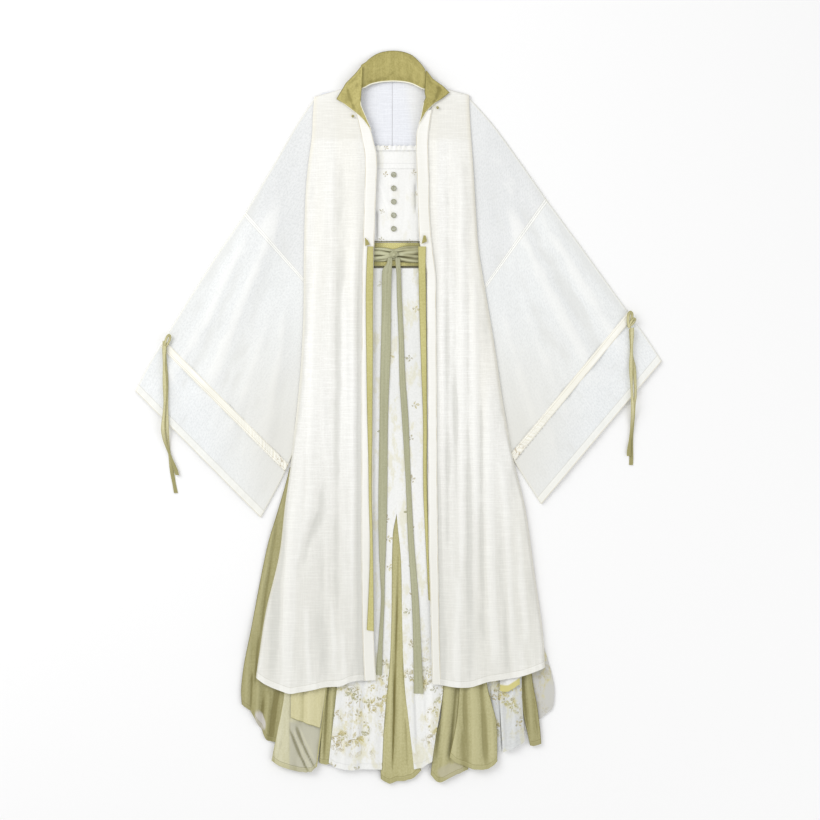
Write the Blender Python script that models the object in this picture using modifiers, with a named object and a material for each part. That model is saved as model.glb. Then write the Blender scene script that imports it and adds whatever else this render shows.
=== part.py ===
"""An open-fronted coat over a strap dress with its own belt, laid flat on its back.

The collar points to +Y, the front faces +Z and everything rests on z = 0. Left and right are as seen
from above. Tables are in millimetres, one row for each section of a piece, and MM turns them to metres.
"""

import math

import bmesh
import bpy
import numpy as np

MM = 0.001

# Walls and gaps, in millimetres.
WALL = 1.0  # every cloth wall
BAND_WALL = 1.5  # the front edge bands, two layers sewn together
SEAM_GAP = 0.3  # between pieces that meet at a seam
LAYER = 1.9  # from one layer of the dress to the next

# Heights of undersides, in millimetres.
DRESS_ON_COAT = 1.3  # the dress back lies on the coat back
DRESS_FOOT = (-552, -640)  # where the dress leaves the coat's hem and reaches the floor
COAT_EDGE = 7.0  # the coat fronts at their outer folds
COAT_MIDDLE = 9.0  # the coat fronts over the dress
COAT_ROLL = 28  # how far in from the outer fold the front has risen to its full height
BAND_LAP = 5  # how far a front band laps over its front
ON_FRONT = COAT_MIDDLE + WALL + 0.8  # the front bands, which lie on the fronts' edges
ON_BAND = ON_FRONT + BAND_WALL + 0.7  # what lies on a front band
LAPEL = ON_BAND + 0.2  # the turned-down lapels
SLEEVE_DEPTH = 4.0  # the flattened sleeve at its two folded sides
SLEEVE_TURN = 1.5  # how far the sleeve's folded side rounds in

# The belt and what is on it, in millimetres.
BELT_TOP, BELT_LOW = 348, 302
BELT_LEFT, BELT_RIGHT = -107, 83
PIPING_RADIUS = 1.2
BUTTON_RADIUS = 5.5
BUTTON_TOP_Y, BUTTON_PITCH, BUTTON_X = 484, 27, -9.5
BUTTON_COUNT = 5

# Colours: red, green, blue, roughness.
IVORY = (0.83, 0.82, 0.76, 0.8)
SLEEVE_WHITE = (0.84, 0.85, 0.85, 0.8)
OLIVE = (0.47, 0.43, 0.16, 0.7)
YELLOW_OLIVE = (0.58, 0.52, 0.22, 0.55)
SAGE = (0.43, 0.43, 0.31, 0.65)
GODET_GREEN = (0.42, 0.39, 0.20, 0.75)
DARK_OLIVE = (0.12, 0.11, 0.04, 0.6)
PRINT_WHITE = (0.86, 0.86, 0.84, 0.8)
BUTTON_GREY = (0.42, 0.42, 0.33, 0.4)

# Section tables: left x, left y, right x, right y.
FRONT_LEFT = (
    (-168, 640, -81, 666), (-171, 604, -84, 626), (-173, 560, -75, 582), (-181, 498, -63, 514),
    (-186, 434, -64, 444), (-189, 314, -67, 318), (-190, 198, -69, 198), (-197, 74, -69, 74),
    (-213, -76, -70, -76), (-227, -176, -70, -176), (-239, -276, -70, -276), (-265, -386, -69, -386),
    (-279, -476, -67, -470), (-285, -520, -64, -526),
)
FRONT_RIGHT = (
    (59, 666, 141, 644), (67, 626, 142, 610), (58, 582, 145, 560), (56, 514, 149, 504),
    (57, 444, 153, 438), (62, 354, 159, 344), (70, 284, 168, 284), (71, 154, 190, 154),
    (72, 14, 211, 14), (73, -86, 230, -86), (74, -186, 254, -186), (75, -306, 271, -306),
    (77, -426, 288, -426), (80, -534, 293, -500),
)
BAND_LEFT = (
    (-80, 610, -65, 602), (-74, 582, -57, 578), (-68, 554, -50, 552), (-62, 514, -43, 514),
    (-63, 444, -45, 444), (-67, 318, -49, 318), (-68, 198, -50, 198), (-69, 74, -51, 74),
    (-69, -76, -51, -76), (-69, -276, -51, -276), (-68, -386, -50, -386), (-66, -470, -48, -470),
    (-63, -526, -45, -525),
)
BAND_RIGHT = (
    (47, 608, 62, 614), (40, 582, 57, 582), (35, 554, 54, 554), (37, 468, 56, 468),
    (39, 410, 57, 410), (41, 362, 61, 354), (47, 322, 65, 320), (56, 290, 69, 286),
    (57, 234, 70, 234), (58, 114, 71, 114), (59, -66, 72, -66), (60, -246, 74, -246),
    (62, -316, 75, -316), (65, -446, 77, -446), (67, -533, 80, -534),
)
BACK_LEFT = (
    (-153, 648, -13, 674), (-164, 626, -13, 626), (-164, 434, -13, 434), (-164, 246, -13, 246),
    (-168, 130, -13, 130), (-188, -6, -13, -6), (-219, -106, -13, -106), (-231, -248, -13, -248),
    (-255, -370, -13, -370), (-275, -486, -13, -502),
)
BACK_RIGHT = (
    (-12, 674, 125, 648), (-12, 626, 134, 626), (-12, 434, 134, 370), (-12, 246, 141, 218),
    (-12, 130, 149, 94), (-12, -6, 176, -6), (-12, -106, 226, -90), (-12, -248, 257, -248),
    (-12, -370, 277, -370), (-12, -502, 287, -476),
)
# Sleeve sections: x, y on the upper folded side, then x, y on the lower side.
SLEEVE_LEFT = (
    (-165.3, 640, -165.3, 628), (-201, 588, -165.3, 534), (-253, 498, -165.3, 390),
    (-307, 406, -165.3, 246), (-355, 336, -169.4, 130), (-415, 242, -189.4, -6),
    (-473, 148, -223, -102), (-499, 106, -247, -150), (-526, 52, -275, -201),
)
SLEEVE_RIGHT = (
    (139, 640, 135.3, 626), (189, 584, 135.3, 514), (243, 510, 135.3, 370), (296, 434, 143.3, 218),
    (349, 362, 152.4, 94), (407, 282, 180.4, -6), (463, 204, 227, -82), (495, 160, 255, -128),
    (526, 112, 285, -174),
)
SLEEVE_PARTS = (("head", 0, 3), ("sleeve", 3, 6), ("cuff", 6, 8))

SKIRT_BACK = (
    (-107, 310, 83, 310), (-137, 174, 113, 174), (-165, 34, 143, 34), (-197, -106, 183, -106),
    (-223, -226, 223, -226), (-253, -346, 259, -346), (-273, -446, 287, -446),
    (-285, -526, 309, -526), (-291, -566, 311, -566), (-289, -590, 307, -584),
)
PANEL_LEFT = (
    (-93, 297, -10, 297), (-95, 174, -9.5, 174), (-97, 34, -9, 34), (-105, -146, -9, -146),
    (-111, -286, -13, -286), (-117, -446, -15, -446), (-123, -542, -22, -542),
    (-131, -616, -29, -616), (-139, -690, -33, -704),
)
PANEL_RIGHT = (
    (-8, 297, 67, 297), (-8, 174, 71, 174), (-8, 34, 75, 34), (-7, -146, 81, -146),
    (5, -286, 85, -286), (8, -446, 89, -446), (13, -546, 89, -546), (23, -630, 77, -620),
    (31, -704, 67, -687),
)
GODET_CENTRE = (
    (-13, -142, -5, -142), (-17, -286, 9, -286), (-21, -446, 13, -446), (-29, -546, 19, -546),
    (-37, -630, 29, -630), (-35, -722.6, 45, -706),
)
STRIPE_LEFT = (
    (-137, -446, -115, -446), (-144, -542, -117, -542), (-153, -616, -125, -616),
    (-159, -690, -135, -692),
)
OVERLAY_LEFT = (
    (-223, -446, -135, -446), (-229, -554, -143, -542), (-241, -622, -153, -622),
    (-253, -686, -163, -698),
)
OVERLAY_FOLD = (
    (-215, -456, -137, -456), (-215, -536, -145, -536), (-215, -600, -157, -620),
)
GODET_FAR_LEFT = (
    (-217, -100, -197, -100), (-235, -168, -197, -168), (-259, -246, -197, -246),
    (-275, -320, -197, -320), (-295, -426, -201, -426), (-313, -520, -217, -526),
    (-313, -574, -243, -648),
)
GODET_RIGHT = (
    (95, -446, 151, -446), (85, -538, 151, -538), (85, -596, 149, -596), (73, -646, 145, -650),
    (64, -714, 139, -704),
)
FLAP_RIGHT = (
    (127, -446, 179, -446), (121, -542, 177, -534), (115, -606, 195, -606), (101, -678, 197, -686),
)
STRIPE_RIGHT = (
    (171, -446, 199, -446), (175, -534, 201, -528), (181, -606, 203, -606), (187, -674, 205, -668),
)
OVERLAY_RIGHT = (
    (202, -446, 243, -446), (203, -496, 242, -490), (203, -550, 242, -542),
)
PANEL_FAR_RIGHT = (
    (199, -446, 245, -446), (201, -546, 246, -546), (205, -610, 249, -602), (209, -670, 252, -648),
)
GODET_FAR_RIGHT = (
    (231, -446, 263, -446), (239, -520, 267, -520), (249, -590, 279, -590), (263, -656, 285, -652),
)
BODICE_RUFFLE = ((-137, 542, 107, 542), (-137, 532, 107, 532))
BODICE_BAND = ((-137, 531.7, 107, 531.7), (-133, 496, 103, 496))
BODICE_FRONT = ((-133, 495.7, 103, 495.7), (-122, 420, 95, 420), (-107, 342, 83, 342))
BODICE_BACK = ((-133, 530, 103, 530), (-122, 420, 95, 420), (-107, 310.5, 83, 310.5))
STRAP_LEFT = ((-139, 642, -125, 642), (-111, 590, -97, 590), (-97, 542, -83, 542))
STRAP_RIGHT = ((103, 642, 117, 642), (91, 590, 105, 590), (75, 542, 89, 542))
TAIL_LEFT = (
    (-22, 318, -12, 318), (-24, 306, -12, 306), (-33, 290, -13, 290), (-34, 234, -14, 234),
    (-35, 154, -15, 154), (-38, 14, -20, 14), (-40, -126, -22, -126), (-40, -246, -24, -246),
    (-37, -316, -27, -316), (-35, -366, -28, -366), (-40, -446, -31, -446), (-46, -515, -33, -515),
)
TAIL_RIGHT = (
    (-7, 318, 3, 318), (-6, 306, 4, 306), (-4, 284, 5, 284), (-3, 234, 7, 234), (0, 154, 11, 154),
    (2, 74, 14, 74), (7, -6, 20, -6), (14, -126, 25, -126), (19, -246, 31, -246),
    (26, -366, 41, -366), (29, -446, 45, -446), (31, -552, 50, -552),
)
RIBBON_LEFT = (
    (-62, 340, -50, 340), (-64, 294, -50, 294), (-65, 234, -51, 234), (-64, 114, -51, 114),
    (-62, -6, -52, -6), (-60, -86, -53, -86), (-59, -166, -53, -166), (-57, -246, -51, -246),
    (-58, -316, -50, -316), (-63, -425, -49, -427),
)
RIBBON_RIGHT = (
    (39, 340, 55, 340), (40, 294, 54, 294), (41, 244, 55, 244), (44, 134, 56, 134),
    (49, -6, 57, -6), (49, -126, 57, -126), (52, -206, 59, -206), (56, -286, 62, -286),
    (60, -366, 65, -366),
)
RIBBON_HEAD_LEFT = ((-67, 358, -61, 352), (-66, 341, -57, 344))
RIBBON_HEAD_RIGHT = ((50, 362, 54, 362), (46, 345, 57, 350))
# The collar is tabled from left to right round the neck: outer x, outer y, neck x, neck y.
COLLAR_STAND = (
    (-69, 702, -72, 652), (-59, 715, -59, 662), (-37, 728, -37, 668), (-8, 732, -8, 670),
    (21, 726, 19, 667), (40, 711, 37, 660), (53, 694, 50.6, 651),
)
LAPEL_LEFT = (
    (-74, 700, -71, 697), (-87, 684, -71, 682), (-105, 666, -72.5, 662), (-124, 634, -75, 632),
    (-108, 624, -74, 621), (-92, 612, -69, 609), (-79, 602, -64, 597), (-69, 592, -59, 585),
    (-56, 574, -53, 571),
)
LAPEL_RIGHT = (
    (54, 691, 57, 690), (54, 682, 69, 674), (53, 662, 89, 660), (52, 647, 102, 647),
    (54, 636, 87, 635), (50, 629, 74, 627), (48, 618, 64, 618), (46, 608, 55, 608),
    (44, 597, 48, 596), (40, 585, 42, 585),
)
# Sleeve ties: middle x, middle y from top to free end.
TIE_LEFT_LONG = ((-467, 152), (-462, 42), (-462, -26), (-455, -96), (-445, -152))
TIE_LEFT_SHORT = ((-451, 142), (-456, 48), (-459, -34), (-441, -116))
TIE_RIGHT_LONG = ((464, 176), (465, 124), (470, 97), (473, 46), (469, 14), (465, -96))
TIE_RIGHT_SHORT = ((450, 178), (452, 114), (457, 44), (459, -78))
TIE_WIDTH = 10

# How far a hem hangs below the line between its corners: place across from 0 to 1, drop.
FRONT_LEFT_HEM = ((0, 0), (0.05, 9), (0.17, 21), (0.31, 30), (0.48, 23), (0.64, 14), (0.76, 13),
                  (0.88, 1), (1, 0))
FRONT_RIGHT_HEM = ((0, 0), (0.06, 4), (0.2, 13), (0.31, 15), (0.46, 10), (0.57, 10), (0.75, 10),
                   (0.86, 7), (1, 0))
PANEL_LEFT_HEM = ((0, 0), (0.13, 8), (0.38, 10), (0.7, 3), (1, 0))
PANEL_RIGHT_HEM = ((0, 0), (0.5, 4), (1, 0))
GODET_CENTRE_HEM = ((0, 0), (0.15, 14), (0.3, 10), (0.55, 14), (0.8, 12), (1, 0))
OVERLAY_LEFT_HEM = ((0, 0), (0.22, 10), (0.5, 14), (0.75, 14), (0.9, 12), (1, 0))
FAR_LEFT_HEM = ((0, 0), (0.2, -6), (0.5, 6), (0.75, 18), (0.9, 10), (1, 0))
GODET_RIGHT_HEM = ((0, 0), (0.15, 18), (0.4, 15), (0.7, 6), (1, 0))
FLAP_RIGHT_HEM = ((0, 0), (0.23, 14), (0.5, 20), (0.77, 20), (0.95, 12), (1, 0))
FAR_RIGHT_HEM = ((0, 0), (0.5, 3), (1, 0))
SKIRT_BACK_HEM = ((0, 0), (0.05, 40), (0.12, 60), (0.5, 110), (0.9, 50), (0.96, 10), (1, 0))
NO_HEM = ((0, 0), (1, 0))

# Soft ridges: x and y where one starts, x and y where it ends, half width, height.
FRONT_RIDGES = (
    (-165, 400, -212, -620, 22, 8), (-138, 600, -150, -140, 18, 5), (-108, 330, -130, -640, 20, 5.5),
    (-90, 500, -92, -560, 12, 3.5), (-240, -160, -266, -640, 15, 5), (-172, -90, -166, -640, 12, 4),
    (96, 420, 92, -140, 12, 3.5), (122, 580, 148, -260, 18, 5.5), (150, 300, 208, -620, 20, 6.5),
    (185, 90, 262, -600, 16, 6), (108, -60, 122, -640, 16, 5), (165, -150, 172, -640, 11, 4),
)
DRESS_RIDGES = (
    (-46, 330, -50, -420, 6, 0.8), (-12, 300, -13, -420, 7, 1.0), (32, 330, 40, -420, 10, 1.2),
    (-218, -500, -242, -860, 18, 7), (-172, -500, -184, -880, 17, 7), (-120, -500, -112, -880, 22, 7),
    (-62, -500, -56, -880, 16, 7), (-22, -520, -22, -880, 10, 4.5), (12, -500, 18, -880, 10, 6),
    (60, -500, 62, -880, 15, 7), (108, -500, 104, -880, 14, 8), (160, -500, 168, -860, 15, 8),
    (224, -480, 232, -820, 14, 6), (268, -460, 274, -760, 11, 5), (-296, -330, -300, -700, 12, 5),
)
SLEEVE_RIDGES = (
    (-230, 440, -420, -40, 26, 7), (-300, 360, -470, 30, 20, 5), (-215, 260, -300, -160, 24, 6),
    (-260, 200, -380, -120, 16, 4), (-250, 470, -330, 300, 18, 4),
    (210, 420, 420, 20, 26, 7), (300, 380, 470, 90, 20, 5), (190, 240, 320, -110, 24, 6),
    (240, 260, 370, -60, 16, 4), (230, 500, 320, 330, 18, 4),
)


def smooth(x):
    """0 to 1 with flat ends."""
    x = np.clip(x, 0.0, 1.0)
    return x * x * (3 - 2 * x)


def read_rows(table, v, curved=True):
    """The row at v from 0 to 1, on a curve through the rows or on straight lines between them."""
    rows = np.array(table, float)
    place = v * (len(rows) - 1)
    first = min(int(place), len(rows) - 2)
    t = place - first
    here, after = rows[first], rows[first + 1]
    if not curved:
        return here + (after - here) * t
    before = rows[max(first - 1, 0)]
    last = rows[min(first + 2, len(rows) - 1)]
    return here + 0.5 * t * (
        after - before + t * (2 * before - 5 * here + 4 * after - last
                              + t * (3 * (here - after) + last - before))
    )


def ridges(x, y, table):
    """The summed height of soft ridges, each fading towards both of its ends."""
    total = 0.0
    for x0, y0, x1, y1, half_width, height in table:
        run = np.array((x1 - x0, y1 - y0), float)
        length = math.hypot(*run)
        run /= length
        along = ((x - x0) * run[0] + (y - y0) * run[1]) / length
        aside = (x - x0) * run[1] - (y - y0) * run[0]
        fade = smooth(along / 0.2) * smooth((1 - along) / 0.2)
        total += height * fade * math.exp(-((aside / half_width) ** 2))
    return float(total)


def dress_height(layer, x, y):
    """Underside of a layer of the dress: 0 is the skirt back, and each next layer lies on it."""
    start, end = DRESS_FOOT
    lift = DRESS_ON_COAT * (1 - smooth((start - y) / (start - end)))
    folds = ridges(x, y, DRESS_RIDGES) * (0.7 + 0.15 * layer) if layer else 0.0
    return lift + LAYER * layer + folds


def over_dress(x, y):
    """The folds of the dress as they lift what lies on it."""
    return 1.3 * ridges(x, y, DRESS_RIDGES)


def front_height(x, y, from_side, from_band):
    """Underside of a coat front, by the distance in from its outer fold and from its band."""
    rise = (COAT_MIDDLE - COAT_EDGE) * math.sqrt(smooth(from_side / COAT_ROLL))
    level_edges = smooth(from_side / COAT_ROLL) * smooth((from_band - BAND_LAP) / 22)
    lapels = 1 - smooth((y - 520) / 60)
    return COAT_EDGE + rise + ridges(x, y, FRONT_RIDGES) * level_edges * lapels + over_dress(x, y)


def sleeve_height(x, y, side):
    """Top of a flattened sleeve, level where the coat front lies on it."""
    table = FRONT_LEFT if side == "left" else FRONT_RIGHT
    places = sorted((row[1], row[0]) if side == "left" else (row[3], row[2]) for row in table)
    fold = np.interp(y, [p[0] for p in places], [p[1] for p in places])
    clear = smooth((abs(x) - abs(fold) + 4) / 80)
    return SLEEVE_DEPTH + clear * (1.5 + ridges(x, y, SLEEVE_RIDGES))


def material(name, colour):
    made = bpy.data.materials.new(name)
    made.use_nodes = True
    shader = made.node_tree.nodes["Principled BSDF"]
    shader.inputs["Base Color"].default_value = (*colour[:3], 1)
    shader.inputs["Roughness"].default_value = colour[3]
    shader.inputs["Metallic"].default_value = 0
    made.diffuse_color = (*colour[:3], 1)
    return made


def add_object(name, mesh, colour):
    mesh.materials.append(material(name, colour))
    made = bpy.data.objects.new(name, mesh)
    PARTS.objects.link(made)
    return made


def grid_object(name, cells, place, colour, wall, outward=1):
    """A grid moved by place(u, v), v running down from the collar end, with a wall added to it."""
    bm = bmesh.new()
    bmesh.ops.create_grid(bm, x_segments=cells[0], y_segments=cells[1], size=0.5)
    for vertex in bm.verts:
        x, y, z = place(vertex.co.x + 0.5, 0.5 - vertex.co.y)
        vertex.co = (x * MM, y * MM, z * MM)
    mesh = bpy.data.meshes.new(name)
    bm.to_mesh(mesh)
    bm.free()
    made = add_object(name, mesh, colour)
    shell = made.modifiers.new("Wall", "SOLIDIFY")
    shell.thickness = wall * MM
    shell.offset = outward
    shell.use_quality_normals = True
    return made


def panel(name, table, cells, height, colour, hem=NO_HEM, wall=WALL, curved=True):
    """A piece of cloth between the two edges of a table, its underside at height(x, y, u, v)."""
    hem_places, hem_drops = zip(*hem)

    def place(u, v):
        x0, y0, x1, y1 = read_rows(table, v, curved)
        x, y = x0 + (x1 - x0) * u, y0 + (y1 - y0) * u
        y -= np.interp(u, hem_places, hem_drops) * v ** 6
        return x, y, height(x, y, u, v)

    return grid_object(name, cells, place, colour, wall)


def coat_front(name, table, side, hem):
    outer = 0 if side == "left" else 1

    def height(x, y, u, v):
        x0, _, x1, _ = read_rows(table, v)
        width = x1 - x0
        return front_height(x, y, abs(u - outer) * width, (1 - abs(u - outer)) * width)

    panel(name, table, (13, 13), height, IVORY, hem)


def front_band(name, table, lap_left, lap_right):
    def height(x, y, u, v):
        return ON_FRONT + over_dress(x, y)

    lapped = [(x0 - lap_left, y0, x1 + lap_right, y1) for x0, y0, x1, y1 in table]
    panel(name, lapped, (1, len(table) - 1), height, IVORY, wall=BAND_WALL)


def across_sleeve(cells):
    """Places across a flattened sleeve from its upper side, in parts of the way."""
    return [k / cells for k in range(cells + 1)]


SLEEVE_TOP_CELLS = 9
SLEEVE_UNDER_CELLS = 3


def sleeve_ring(section, side):
    """The points round one section of a flattened sleeve, top first."""
    x0, y0, x1, y1 = section
    width = math.hypot(x1 - x0, y1 - y0)
    turn = SLEEVE_TURN / width
    depth = SLEEVE_DEPTH
    ring = [(0, depth * 2 / 3)]
    for part in across_sleeve(SLEEVE_TOP_CELLS):
        ring.append((turn + (1 - 2 * turn) * part, None))
    ring += [(1, depth * 2 / 3), (1, depth / 3)]
    for part in reversed(across_sleeve(SLEEVE_UNDER_CELLS)):
        ring.append((turn + (1 - 2 * turn) * part, 0.0))
    ring.append((0, depth / 3))
    points = []
    for place, z in ring:
        x, y = x0 + (x1 - x0) * place, y0 + (y1 - y0) * place
        if z is None:
            edge = smooth(min(place, 1 - place) * width / 30)
            z = SLEEVE_DEPTH + (sleeve_height(x, y, side) - SLEEVE_DEPTH) * edge
        points.append((x, y, z))
    return points


def sleeve_tube(name, table, side, first, last, cells, colour):
    """One stretch of a sleeve as an open flattened tube, between two rows of its table."""
    count = len(table) - 1
    bm = bmesh.new()
    rings = []
    for k in range(cells + 1):
        row = first + (last - first) * k / cells
        length = math.dist(table[first][:2], table[last][:2])
        inset = SEAM_GAP / 2 / length * (last - first)
        row = min(max(row, first + inset), last - inset)
        ring = sleeve_ring(read_rows(table, row / count), side)
        rings.append([bm.verts.new([value * MM for value in point]) for point in ring])
    for near, far in zip(rings, rings[1:]):
        for k in range(len(near)):
            after = (k + 1) % len(near)
            bm.faces.new((near[k], near[after], far[after], far[k]))
    bmesh.ops.recalc_face_normals(bm, faces=bm.faces)
    mesh = bpy.data.meshes.new(name)
    bm.to_mesh(mesh)
    bm.free()
    made = add_object(name, mesh, colour)
    shell = made.modifiers.new("Wall", "SOLIDIFY")
    shell.thickness = WALL * MM
    shell.offset = -1
    shell.use_quality_normals = True


def cuff_seam_band(name, table, side):
    """The double-stitched band that lies over the seam between the sleeve and the cuff width."""
    half_width = 8
    x0, y0, x1, y1 = table[6]
    run = np.array(table[7][:2], float) - np.array(table[5][:2], float)
    run /= np.linalg.norm(run)
    width = math.hypot(x1 - x0, y1 - y0)
    turn = SLEEVE_TURN / width

    def place(u, v):
        part = turn + (1 - 2 * turn) * v
        x, y = x0 + (x1 - x0) * part, y0 + (y1 - y0) * part
        edge = smooth(min(part, 1 - part) * width / 30)
        top = SLEEVE_DEPTH + (sleeve_height(x, y, side) - SLEEVE_DEPTH) * edge
        aside = (2 * u - 1) * half_width * (-1 if side == "left" else 1)
        return x + run[0] * aside * -1, y + run[1] * aside * -1, top + 2.0

    grid_object(name, (1, SLEEVE_TOP_CELLS), place, IVORY, WALL)


def tie(name, points, side, lift):
    """A narrow sleeve tie: it lies on the cuff, then over its opening edge and down to the floor."""
    opening = (SLEEVE_LEFT if side == "left" else SLEEVE_RIGHT)[-1]
    edge = np.array(opening[2:], float) - np.array(opening[:2], float)
    edge /= np.linalg.norm(edge)
    sign = 1 if side == "left" else -1

    def place(u, v):
        x, y = read_rows(points, v)
        x += (u - 0.5) * TIE_WIDTH
        past = sign * ((x - opening[0]) * edge[1] - (y - opening[1]) * edge[0]) - 8
        on_cuff = max(sleeve_height(x, y, side), SLEEVE_DEPTH + 4.5) + 1.0
        return x, y, lift + on_cuff * (1 - smooth(past / 22))

    grid_object(name, (1, 14), place, OLIVE, WALL)


def small_ball(name, centre, size, colour):
    """A small knot of thread or cloth: a squashed round form."""
    bm = bmesh.new()
    bmesh.ops.create_icosphere(bm, subdivisions=2, radius=0.5)
    for vertex in bm.verts:
        vertex.co = [(c + v * s) * MM for c, v, s in zip(centre, vertex.co, size)]
    mesh = bpy.data.meshes.new(name)
    bm.to_mesh(mesh)
    bm.free()
    add_object(name, mesh, colour)


def button(name, x, y, z):
    """A turned button with a raised rim."""
    profile = ((1.0, 0.0), (1.0, 0.9), (0.82, 1.5), (0.6, 0.9), (0.0, 0.9), (0.0, 0.0))
    mesh = bpy.data.meshes.new(name)
    points = [(r * BUTTON_RADIUS * MM, 0, h * MM) for r, h in profile[:4]]
    bm = bmesh.new()
    line = [bm.verts.new(point) for point in reversed(points)]
    line.insert(0, bm.verts.new((0, 0, profile[4][1] * MM)))
    line.append(bm.verts.new((0, 0, 0)))
    edges = [bm.edges.new(pair) for pair in zip(line, line[1:])]
    bmesh.ops.spin(bm, geom=line + edges, cent=(0, 0, 0), axis=(0, 0, 1), angle=2 * math.pi,
                   steps=12, use_merge=True)
    bmesh.ops.remove_doubles(bm, verts=bm.verts, dist=1e-6)
    bmesh.ops.recalc_face_normals(bm, faces=bm.faces)
    bm.to_mesh(mesh)
    bm.free()
    made = add_object(name, mesh, BUTTON_GREY)
    made.location = (x * MM, y * MM, z * MM)


def piping(name, y, z):
    curve = bpy.data.curves.new(name, "CURVE")
    curve.dimensions = "3D"
    curve.bevel_depth = PIPING_RADIUS * MM
    curve.bevel_resolution = 1
    curve.use_fill_caps = True
    line = curve.splines.new("POLY")
    line.points.add(1)
    line.points[0].co = (BELT_LEFT * MM, y * MM, z * MM, 1)
    line.points[1].co = (BELT_RIGHT * MM, y * MM, z * MM, 1)
    curve.materials.append(material(name, DARK_OLIVE))
    PARTS.objects.link(bpy.data.objects.new(name, curve))


def make_coat():
    panel("coat_back_left", BACK_LEFT, (4, 9), lambda x, y, u, v: 0, IVORY, curved=False)
    panel("coat_back_right", BACK_RIGHT, (4, 9), lambda x, y, u, v: 0, IVORY, curved=False)
    coat_front("coat_front_left", FRONT_LEFT, "left", FRONT_LEFT_HEM)
    coat_front("coat_front_right", FRONT_RIGHT, "right", FRONT_RIGHT_HEM)
    front_band("front_band_left", BAND_LEFT, BAND_LAP, 0)
    front_band("front_band_right", BAND_RIGHT, 0, BAND_LAP)


def make_sleeves():
    for side, table in (("left", SLEEVE_LEFT), ("right", SLEEVE_RIGHT)):
        for part, first, last in SLEEVE_PARTS:
            name = f"{part}_{side}" if part != "head" else f"sleeve_head_{side}"
            cells = {"head": 3, "sleeve": 5, "cuff": 3}[part]
            sleeve_tube(name, table, side, first, last, cells, SLEEVE_WHITE)
        cuff_seam_band(f"cuff_seam_{side}", table, side)
    tie("sleeve_tie_left_long", TIE_LEFT_LONG, "left", 0)
    tie("sleeve_tie_left_short", TIE_LEFT_SHORT, "left", 2.6)
    tie("sleeve_tie_right_long", TIE_RIGHT_LONG, "right", 0)
    tie("sleeve_tie_right_short", TIE_RIGHT_SHORT, "right", 2.6)


def make_collar():
    def stand_height(x, y, u, v):
        return 2.2 + 7.4 * abs(2 * v - 1) ** 2 + 5 * math.sin(math.pi * (0.15 + 0.7 * u))

    def lapel_height(inner):
        return lambda x, y, u, v: LAPEL + 3.5 * smooth(1 - abs(u - inner) * 2.2) * (1 - v)

    panel("collar_stand", COLLAR_STAND, (3, 10), stand_height, OLIVE)
    panel("lapel_left", LAPEL_LEFT, (3, 8), lapel_height(1), OLIVE, curved=False)
    panel("lapel_right", LAPEL_RIGHT, (3, 9), lapel_height(0), OLIVE, curved=False)
    small_ball("collar_knot_left", (-91, 600, 13.6), (6, 6, 4), OLIVE)
    small_ball("collar_knot_right", (78, 617, 13.6), (6, 6, 4), OLIVE)


def make_bodice():
    def ruffle_height(x, y, u, v):
        return dress_height(1, x, y) + 1.2 + 1.2 * math.cos(2 * math.pi * 12 * u) * (1 - v)

    def bodice_height(x, y, u, v):
        return dress_height(1, x, y)

    def back_height(x, y, u, v):
        return DRESS_ON_COAT

    panel("bodice_ruffle", BODICE_RUFFLE, (24, 1), ruffle_height, PRINT_WHITE)
    panel("bodice_band", BODICE_BAND, (8, 1), bodice_height, PRINT_WHITE)
    panel("bodice_front", BODICE_FRONT, (10, 4), bodice_height, PRINT_WHITE)
    panel("bodice_back", BODICE_BACK, (4, 2), back_height, PRINT_WHITE)
    panel("strap_left", STRAP_LEFT, (1, 4), back_height, PRINT_WHITE)
    panel("strap_right", STRAP_RIGHT, (1, 4), back_height, PRINT_WHITE)
    on_bodice = DRESS_ON_COAT + LAYER + WALL + 1.6
    for k in range(BUTTON_COUNT):
        button(f"button_{k + 1}", BUTTON_X, BUTTON_TOP_Y - BUTTON_PITCH * k, on_bodice)


def make_belt():
    band = ((BELT_LEFT, BELT_TOP, BELT_RIGHT, BELT_TOP), (BELT_LEFT, BELT_LOW, BELT_RIGHT, BELT_LOW))
    wrap = ((BELT_LEFT, 344, BELT_RIGHT, 345), (BELT_LEFT, 305, BELT_RIGHT, 306))
    middle = -9

    def wrap_height(x, y, u, v):
        pull = math.exp(-((x - middle) / 26) ** 2)
        pleats = 0.5 + 0.5 * math.cos(2 * math.pi * (3 * v + 0.6 * pull))
        return 5.7 + 1.6 * pleats * math.exp(-((x - middle) / 30) ** 4) + 0.4 * pull

    def tail_height(x, y, u, v):
        on_belt = smooth((y - 262) / 42)
        under_coat = smooth((-440 - y) / 40) if x < -20 else 0
        on_skirt = 6.9 + 0.2 * under_coat + ridges(x, y, DRESS_RIDGES)
        return on_skirt * (1 - on_belt) + 9.4 * on_belt

    panel("waistband", band, (6, 2), lambda x, y, u, v: 4.5, GODET_GREEN)
    piping("belt_piping_top", BELT_TOP + 2.2, 5.9)
    piping("belt_piping_low", BELT_LOW - 2.2, 5.9)
    panel("sash_wrap", wrap, (14, 6), wrap_height, SAGE)
    small_ball("sash_knot", (middle, 325, 12.8), (20, 13, 7), SAGE)
    panel("sash_tail_left", TAIL_LEFT, (2, 11), tail_height, SAGE)
    panel("sash_tail_right", TAIL_RIGHT, (2, 11), tail_height, SAGE)


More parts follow.
